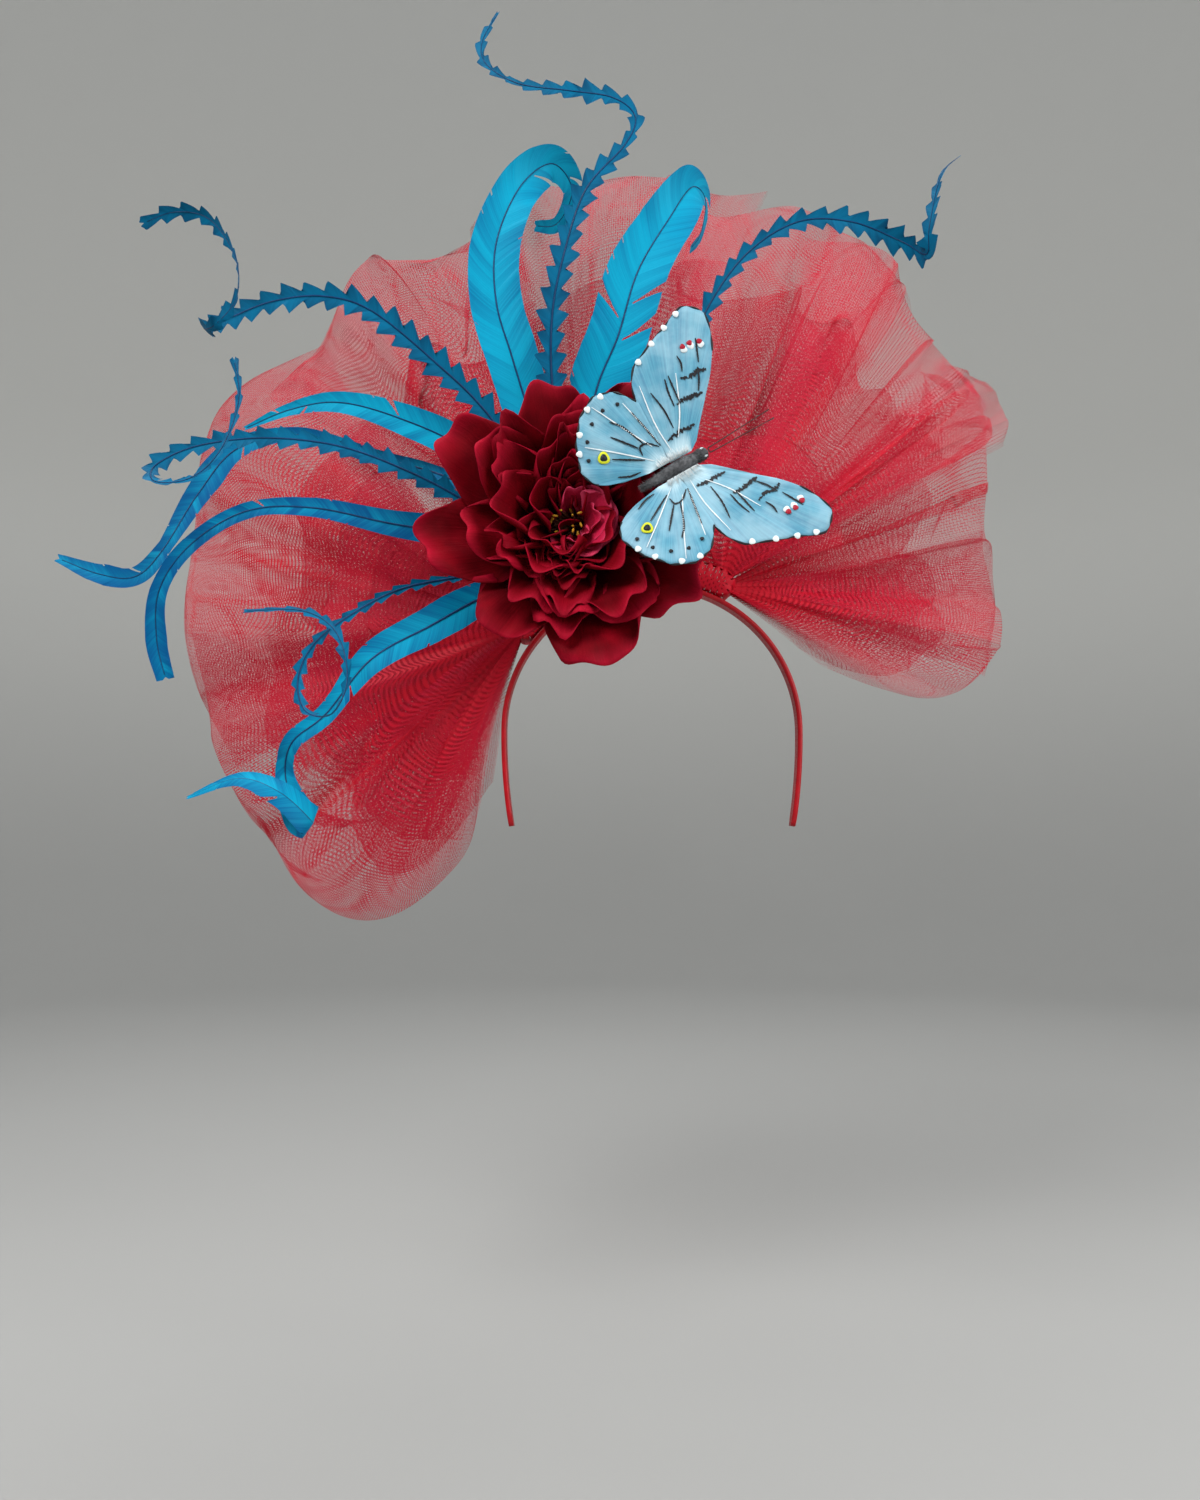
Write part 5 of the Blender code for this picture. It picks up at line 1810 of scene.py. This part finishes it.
RED_DOTS = ((0.42, 0.62), (0.47, 0.62), (0.53, 0.60))
EYESPOT = ((-0.36, 0.26),)
STROKES = (
    Stroke(Paint.BLACK, False, 0.9 * MM, 0.15, (
        ((0.52, 0.63), (0.49, 0.56), (0.46, 0.49)), ((0.44, 0.47), (0.41, 0.40), (0.37, 0.34)),
        ((0.36, 0.59), (0.36, 0.54), (0.34, 0.49)), ((0.22, 0.50), (0.20, 0.42), (0.19, 0.33)),
        ((0.10, 0.47), (0.12, 0.35), (0.12, 0.22)), ((0.25, 0.51), (0.24, 0.42), (0.23, 0.33)),
    )),
    Stroke(Paint.BLACK, False, 1.7 * MM, 0.55, (
        ((0.31, 0.46), (0.37, 0.44), (0.43, 0.45), (0.48, 0.43)),
        ((0.21, 0.33), (0.26, 0.34), (0.32, 0.33), (0.39, 0.32)),
        ((0.05, 0.17), (0.12, 0.18), (0.19, 0.18), (0.25, 0.18)),
    )),
    Stroke(Paint.BLACK, True, 0.9 * MM, 0.15, (
        ((-0.22, 0.43), (-0.16, 0.36), (-0.10, 0.22)),
        ((-0.02, 0.16), (-0.08, 0.21), (-0.13, 0.21), (-0.14, 0.16)),
        ((-0.32, 0.23), (-0.23, 0.18), (-0.14, 0.13)), ((-0.34, 0.12), (-0.27, 0.09), (-0.20, 0.08)),
        ((-0.14, 0.21), (-0.20, 0.28), (-0.26, 0.35)), ((-0.01, 0.16), (-0.04, 0.29), (-0.07, 0.42)),
    )),
    Stroke(Paint.WHITE, False, 0.6 * MM, 0.1, (
        ((0.04, 0.11), (0.03, 0.30), (0.06, 0.54)), ((0.12, 0.16), (0.21, 0.30), (0.30, 0.50)),
    )),
    Stroke(Paint.WHITE, True, 0.6 * MM, 0.1, (
        ((-0.09, 0.10), (-0.26, 0.24), (-0.43, 0.37)), ((-0.01, 0.17), (-0.05, 0.33), (-0.09, 0.49)),
        ((-0.06, 0.18), (-0.17, 0.37), (-0.27, 0.56)),
    )),
)
DOTS = (
    Dot(Paint.WHITE, False, 1.6 * MM, RED_DOTS, shift=-0.018),
    Dot(Paint.RED, False, 1.35 * MM, RED_DOTS, stack=0.15 * MM),
    Dot(Paint.WHITE, False, 1.5 * MM, ((0.13, 0.67), (0.26, 0.73), (0.38, 0.78), (0.49, 0.82))),
    Dot(Paint.BLACK, True, 0.95 * MM, (
        (-0.12, 0.50), (-0.22, 0.51), (-0.32, 0.47), (-0.40, 0.39), (-0.45, 0.29),
    )),
    Dot(Paint.WHITE, True, 1.5 * MM, ((-0.19, 0.59), (-0.30, 0.56), (-0.42, 0.45), (-0.48, 0.35))),
    Dot(Paint.YELLOW, True, 2.8 * MM, EYESPOT, hole=1.7 * MM),
    Dot(Paint.BLACK, True, 1.45 * MM, EYESPOT),
)


@dataclass
class Butterfly:
    """The feather butterfly: painted wings, a fuzzy body, and its wires."""

    flower: Peony
    wing_length: float = 75.0 * MM
    wing_wall: float = 0.4 * MM
    body_length: float = 36.0 * MM
    body_radius: float = 3.6 * MM
    turn: float = 30.6
    wing_pitch: float = 9.0
    wing_camber: float = 2.5 * MM
    wing_step: float = 1.6 * MM
    height: float = 57.0 * MM
    right: float = 48.0 * MM
    up: float = 15.0 * MM
    antenna_length: float = 34.0 * MM
    antenna_spread: float = 4.0
    hairs: int = 1700
    ruff_hairs: int = 150
    fore_outline: tuple[Place, ...] = (
        (0.21, 0.09), (0.31, 0.20), (0.41, 0.31), (0.51, 0.42), (0.60, 0.56), (0.65, 0.68), (0.64, 0.78),
        (0.58, 0.84), (0.48, 0.84), (0.36, 0.78), (0.22, 0.73), (0.10, 0.67), (0.02, 0.57), (-0.01, 0.45),
    )
    hind_outline: tuple[Place, ...] = (
        (0.00, 0.45), (-0.08, 0.56), (-0.17, 0.61), (-0.28, 0.60), (-0.38, 0.53), (-0.46, 0.43),
        (-0.52, 0.30), (-0.52, 0.20), (-0.44, 0.12), (-0.32, 0.08),
    )
    body_outline: tuple[Place, ...] = (
        (-0.5, 0.10), (-0.47, 0.26), (-0.38, 0.46), (-0.18, 0.76), (0.05, 1.0), (0.22, 0.95),
        (0.33, 0.65), (0.40, 0.82), (0.47, 0.6), (0.5, 0.15),
    )
    fore_root: Place = (0.15, 0.0)
    hind_root: Place = (-0.01, -0.15)

    WING_ROWS, WING_COLUMNS = 26, 150
    SCALLOP, SCALLOPS = 0.016, 7
    WING_WAVE, WING_WAVES = 0.35 * MM, 9
    RIM_RADIUS, RIM_SWING, RIM_PACE = 0.38, 0.5, 0.45
    RIM_FROM, RIM_TO = 0.28, 0.86
    STROKE_STEPS, STROKE_LIFT = 30, 0.37 * MM
    DOT_SIDES, DOT_LIFT = 20, 0.38 * MM
    DOT_HEIGHTS = np.array([[0.18], [0.16], [-0.1]]) * MM
    BODY_FILL = 0.93
    HAIR_LENGTHS, HAIR_RADII = (1.0, 2.2), np.array([0.11, 0.09, 0.02]) * MM
    RUFF_MIDDLE, RUFF_RADII = 0.02, np.array([0.16, 0.12, 0.04]) * MM
    EYE_RADII = np.array([0.2, 0.5, 0.6, 0.5, 0.2]) * MM
    ANTENNA_FOOT, ANTENNA_GAP = 1.2 * MM, 0.35 * MM
    ANTENNA_RADII = ((0, 0.9, 0.95, 1), (0.3, 0.22, 0.34, 0.3))

    def frame(self) -> tuple[Array, Array, Array, Array]:
        """Finds the butterfly's own frame.

        Returns:
            The middle of the body, and the directions ahead, to the left side and out of the back.
        """
        origin, up, forward = self.flower.frame()
        turn = math.radians(self.turn)
        ahead = RIGHT * math.cos(turn) + up * math.sin(turn)
        side = up * math.cos(turn) - RIGHT * math.sin(turn)
        return origin + RIGHT * self.right + up * self.up + forward * self.height, ahead, side, forward

    def on_wing(
        self, front: Array, beside: Array, hand: Hand, hind: bool, lift: Array | float = 0.0
    ) -> Array:
        """Finds points on a wing.

        Args:
            front: How far ahead of the body's middle, in shares of the wing length.
            beside: How far beside it.
            hand: The wing's side.
            hind: Whether it is a hind wing, which lies higher.
            lift: How far off the wing's middle, in metres.

        Returns:
            The points.
        """
        middle, ahead, side, out = self.frame()
        hinge = self.body_radius + SEAT_GAP
        front, y = np.asarray(front, float) * self.wing_length, np.asarray(beside, float) * self.wing_length
        rise = (y - hinge) * math.tan(math.radians(self.wing_pitch)) + self.wing_step * hind + lift
        rise = rise + self.wing_camber * np.sin(np.pi * (y - hinge) / self.wing_length)
        return middle + ahead * front[..., None] + side * (y * hand.value)[..., None] + out * rise[..., None]

    def wing(self, hind: bool, hand: Hand, looks: Wardrobe) -> None:
        """Builds and dresses one wing and its black rim.

        Args:
            hind: Whether it is a hind wing.
            hand: The side that it is on.
            looks: The finishes.
        """
        name = f"{'hind' if hind else 'fore'}_wing_{hand.name.lower()}"
        outline, root = (self.hind_outline, self.hind_root) if hind else (self.fore_outline, self.fore_root)
        share, _, plan = shares(self.WING_ROWS, self.WING_COLUMNS)
        at = plan[..., 1]
        edge = smooth_row(np.array(outline), at[0])
        scallop = 1 - self.SCALLOP * np.abs(np.sin(at * math.pi * self.SCALLOPS))
        along = root[0] + (root[1] - root[0]) * at
        hinge = (self.body_radius + SEAT_GAP) / self.wing_length
        front = along + (edge[None, :, 0] * scallop - along) * share
        beside = hinge + (edge[None, :, 1] * scallop - hinge) * share
        lift = self.WING_WAVE * np.sin(at * math.pi * self.WING_WAVES) * share
        points = self.on_wing(front, beside, hand, hind, lift)
        form = Form()
        form.grid(points, plan=plan)
        form.finish(f"{name}_feather", looks.wing, "wing", name, self.wing_wall)
        count = self.WING_COLUMNS
        run = slice(2, int(count * self.RIM_TO)) if hind else slice(int(count * self.RIM_FROM), count - 2)
        thick = self.RIM_RADIUS * (1 + self.RIM_SWING * np.sin(np.arange(count) * self.RIM_PACE))[run] * MM
        rim = Form()
        rim.tube(points[-1][run], thick)
        rim.finish(f"{name}_rim", looks.black_paint, "wire")

    def stroke(
        self, form: Form, kind: Stroke, route: Sequence[Place], hand: Hand, rng: np.random.Generator
    ) -> None:
        """Adds a brush stroke on a wing.

        Args:
            form: What the faces go into.
            kind: The kind of stroke.
            route: Its route, in shares of the wing length.
            hand: The wing's side.
            rng: Source of its unevenness.
        """
        steps = self.STROKE_STEPS
        line = smooth_row(np.array(route), np.linspace(0, 1, steps))
        ahead = unit(np.gradient(line, axis=0))
        normal = np.stack([-ahead[:, 1], ahead[:, 0]], -1)
        taper = np.sin(np.linspace(0.12, math.pi - 0.12, steps)) ** 0.4
        sides = []
        for sign in (1, -1):
            half = kind.width / 2 / self.wing_length * taper * (1 + kind.rough * rng.normal(0, 1, steps))
            sides.append(line + normal * (sign * half)[:, None])
        pair = np.stack(sides, 1)
        lift = self.wing_wall / 2 + self.STROKE_LIFT
        form.grid(self.on_wing(pair[..., 0], pair[..., 1], hand, kind.hind, lift))

    def dot(self, form: Form, kind: Dot, place: Place, hand: Hand) -> None:
        """Adds a painted dot or ring on a wing.

        Args:
            form: What the faces go into.
            kind: The kind of dot.
            place: Its middle, in shares of the wing length.
            hand: The wing's side.
        """
        turn = np.linspace(0, 2 * math.pi, self.DOT_SIDES, endpoint=False)[None, :]
        shoulder = kind.radius * 0.85 + kind.hole * 0.15
        radii = np.array([max(kind.hole, 0.02 * MM), shoulder, kind.radius])[:, None] / self.wing_length
        radii = radii * (1 + 0.08 * np.sin(turn * 3 + place[0] * 40))
        front, beside = place[0] + radii * np.cos(turn), place[1] + kind.shift + radii * np.sin(turn)
        lift = self.wing_wall / 2 + self.DOT_LIFT + kind.stack + self.DOT_HEIGHTS
        form.grid(self.on_wing(front, beside, hand, kind.hind, lift), closed=True)

    def paint(self, looks: Wardrobe) -> None:
        """Builds and dresses the painted veins, bars and dots of all four wings.

        Args:
            looks: The finishes.
        """
        rng = np.random.default_rng(5)
        forms = {paint: Form() for paint in Paint}
        for hand in Hand:
            for kind in STROKES:
                for route in kind.routes:
                    self.stroke(forms[kind.paint], kind, route, hand, rng)
            for kind in DOTS:
                for place in kind.places:
                    self.dot(forms[kind.paint], kind, place, hand)
        finishes = (looks.black_paint, looks.white_paint, looks.red_paint, looks.yellow_paint)
        for (paint, form), look in zip(forms.items(), finishes):
            form.finish(f"wing_paint_{paint.value}", look, "wing")

    def body(self, looks: Wardrobe, rng: np.random.Generator) -> None:
        """Builds and dresses the fuzzy body.

        Args:
            looks: The finishes.
            rng: Source of the hairs.
        """
        middle, ahead, side, out = self.frame()
        at = np.linspace(0, 1, 60)
        shape = smooth_row(np.array(self.body_outline), at)
        turn = np.linspace(0, 2 * math.pi, 28, endpoint=False)
        rays = np.cos(turn)[:, None] * side + np.sin(turn)[:, None] * out
        ribs = 1 + 0.03 * np.sin(at * 75)
        radii = np.clip(shape[:, 1], 0.1, 1) * self.body_radius * self.BODY_FILL * ribs
        spine = shape[:, 0] * self.body_length
        form = Form()
        form.grid(middle + ahead * spine[:, None, None] + rays[None] * radii[:, None, None], closed=True)
        for _ in range(self.hairs):
            place, angle = rng.uniform(0.02, 0.98), rng.uniform(0, 2 * math.pi)
            spoke = side * math.cos(angle) + out * math.sin(angle)
            root = middle + ahead * np.interp(place, at, spine) + spoke * np.interp(place, at, radii) * 0.95
            lean = unit(-ahead * rng.uniform(0.4, 1.3) + spoke * 0.55 + rng.normal(0, 0.2, 3))
            tip = root + lean * rng.uniform(*self.HAIR_LENGTHS) * MM
            form.tube(np.linspace(root, tip, 3), self.HAIR_RADII, 3)
        form.finish("butterfly_body_fuzz", looks.fur, "body", "butterfly_body")

    def ruff(self, looks: Wardrobe, rng: np.random.Generator) -> None:
        """Builds and dresses the white hairs where the wings meet the body.

        Args:
            looks: The finishes.
            rng: Source of the hairs.
        """
        form = Form()
        for hand in Hand:
            for _ in range(self.ruff_hairs):
                place = rng.uniform(-0.09, 0.13)
                off = place - self.RUFF_MIDDLE
                spread = off * rng.uniform(3.0, 9.0)
                long = rng.uniform(0.01, 0.065) * (1 - 25 * off**2)
                line = np.linspace((place, 0.05), (place + spread * 0.5 * long, 0.05 + long), 3)
                lift = (0.9 + rng.uniform(0, 0.6)) * MM
                form.tube(self.on_wing(line[:, 0], line[:, 1], hand, True, lift), self.RUFF_RADII, 3)
        form.finish("butterfly_ruff", looks.white_paint, "wing")

    def eyes(self, looks: Wardrobe) -> None:
        """Builds and dresses the two eyes.

        Args:
            looks: The finishes.
        """
        middle, ahead, side, out = self.frame()
        half = ahead * 0.9 * MM
        form = Form()
        for hand in Hand:
            spot = middle + ahead * self.body_length * 0.43 + side * hand.value * 2.0 * MM + out * 1.7 * MM
            form.tube(np.linspace(spot - half, spot + half, 5), self.EYE_RADII, 8)
        form.finish("butterfly_eyes", looks.white_paint, "body")

    def antennae(self, looks: Wardrobe) -> None:
        """Builds and dresses the antennae.

        Args:
            looks: The finishes.
        """
        middle, ahead, side, out = self.frame()
        head = middle + ahead * (self.body_length / 2 + SEAT_GAP + self.ANTENNA_GAP)
        spread = math.tan(math.radians(self.antenna_spread)) * self.antenna_length
        t = np.linspace(0, 1, 20)
        form = Form()
        feet = []
        for hand in Hand:
            tip = head + ahead * self.antenna_length + side * spread * hand.value + out * 2 * MM
            foot = head + side * self.ANTENNA_FOOT * hand.value
            form.tube(foot + np.outer(t, tip - foot), np.interp(t, *self.ANTENNA_RADII) * MM, 8)
            feet.append(foot)
        form.tube(np.linspace(feet[0], feet[1], 4), 0.3 * MM, 8)
        form.finish("antennae_wire", looks.wire, "wire", "antennae")

    def post(self, looks: Wardrobe) -> None:
        """Builds and dresses the post behind the body, between its ends in the frame.

        Args:
            looks: The finishes.
        """
        middle, _, _, out = self.frame()
        low, high = (np.array(corner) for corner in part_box("butterfly_post"))
        hang = middle - out * (self.body_radius + SEAT_GAP)
        foot = np.where(np.abs(low - hang) > np.abs(high - hang), low, high)
        foot = np.where(foot == low, foot + POST_RADIUS, foot - POST_RADIUS)
        t = np.linspace(0, 1, 24)
        form = Form()
        form.tube(foot + np.outer(t, hang - foot), POST_RADIUS * (1 + 0.08 * np.sin(t * 60)), 10)
        form.finish("butterfly_post_wire", looks.wire, "wire", "butterfly_post")

    def build(self, looks: Wardrobe) -> None:
        """Builds and dresses the whole butterfly.

        Args:
            looks: The finishes.
        """
        for hand in Hand:
            for hind in (False, True):
                self.wing(hind, hand, looks)
        self.paint(looks)
        rng = np.random.default_rng(3)
        self.body(looks, rng)
        self.ruff(looks, rng)
        for work in (self.eyes, self.antennae, self.post):
            work(looks)


# Studio


@dataclass
class Studio:
    """The plain floor, the soft lights and the camera."""

    floor_height: float = -0.42
    flat_radius: float = 1.9
    bend_radius: float = 1.6
    wall_height: float = 4.2
    floor_colour: Colour = (0.37, 0.37, 0.36)
    floor_other: Colour = (0.39, 0.39, 0.38)
    # Painted light: the colour turns to this lighter wall colour over the next height above the floor.
    wall_painted_light: Colour = (0.66, 0.66, 0.635)
    painted_light_height: float = 1.4
    camera_place: Triple = (-0.0269, -0.61, -0.138)
    camera_pitch: float = 4.9
    film: float = 36.0
    lens: float = 1175 / 1500 * 36
    light_target: Triple = (0.0, 0.0, 0.05)
    sky_colour: Colour = (0.95, 0.97, 1.0)
    sky_strength: float = 0.55

    def floor(self) -> None:
        """Makes the pale floor, which sweeps up all round the object and is painted lighter up the wall, as
        painted light on the backdrop.
        """
        look = Look("studio_floor")
        height = look.axis(look.place(), 2)
        # Painted light: the floor's own grey turns to the lighter wall colour as the height rises.
        share = look.span(height, self.floor_height, self.floor_height + self.painted_light_height)
        pale = look.mix(look.noise(look.place(), 2.0, 2.0), self.floor_colour, self.floor_other)
        material = look.done(Base_Color=look.mix(share, pale, self.wall_painted_light), Roughness=0.9)
        bow = np.linspace(0, math.pi / 2, 24)
        wall = self.flat_radius + self.bend_radius
        radii = np.concatenate([[0.0001, 1.5], self.flat_radius + self.bend_radius * np.sin(bow), [wall]])
        rise = np.concatenate([[0.0, 0.0], self.bend_radius * (1 - np.cos(bow)), [self.wall_height]])
        rise = rise + self.floor_height
        turn = np.linspace(0, 2 * math.pi, 96, endpoint=False)
        spokes = np.cos(turn)[:, None] * RIGHT + np.sin(turn)[:, None] * BACK
        form = Form()
        form.grid(spokes[None] * radii[:, None, None] + UP * rise[:, None, None], closed=True)
        form.mesh_object("floor", material)

    def lights(self) -> None:
        """Makes the soft lights and the even surround."""
        scene = bpy.context.scene
        world = bpy.data.worlds.new("surround")
        world.use_nodes = True
        sky = world.node_tree.nodes["Background"]
        sky.inputs["Color"].default_value = (*self.sky_colour, 1.0)
        sky.inputs["Strength"].default_value = self.sky_strength
        scene.world = world
        for name, place, size, power in (
            ("key", (-0.9, -1.3, 1.3), 0.9, 36.0),
            ("fill", (1.3, -1.1, 0.5), 1.2, 22.0),
            ("top", (0.1, 0.3, 1.7), 1.2, 15.0),
        ):
            light = bpy.data.lights.new(name, "AREA")
            light.size = size
            light.energy = power
            lamp = bpy.data.objects.new(name, light)
            lamp.location = place
            aim = Vector(self.light_target) - Vector(place)
            lamp.rotation_euler = aim.to_track_quat("-Z", "Y").to_euler()
            scene.collection.objects.link(lamp)

    def camera(self) -> None:
        """Makes the camera at the photograph's viewing angle."""
        lens = bpy.data.cameras.new("camera")
        lens.lens = self.lens
        lens.sensor_width = self.film
        lens.clip_start = 0.01
        camera = bpy.data.objects.new("camera", lens)
        camera.location = self.camera_place
        camera.rotation_euler = (math.radians(90 + self.camera_pitch), 0.0, 0.0)
        bpy.context.scene.collection.objects.link(camera)
        bpy.context.scene.camera = camera

    def build(self) -> None:
        """Makes the whole set."""
        self.floor()
        self.lights()
        self.camera()
        bpy.context.scene.cycles.transparent_max_bounces = 48
        bpy.context.scene.view_settings.view_transform = "Standard"


def main() -> None:
    """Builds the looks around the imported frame."""
    logging.basicConfig(level=logging.INFO, format="%(name)s: %(message)s")
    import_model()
    Studio().build()
    looks = Wardrobe.make(Effects.make())
    for piece in (Headband(), BaseDisc(), NetRoll()):
        piece.build(looks)
    for number, puff in enumerate(PUFFS):
        puff.build(looks, 20 + number)
    for number, feather in enumerate(FEATHERS):
        feather.build(looks, 60 + number)
    flower = Peony()
    flower.build(looks)
    Butterfly(flower).build(looks)


if __name__ == "__main__":
    main()
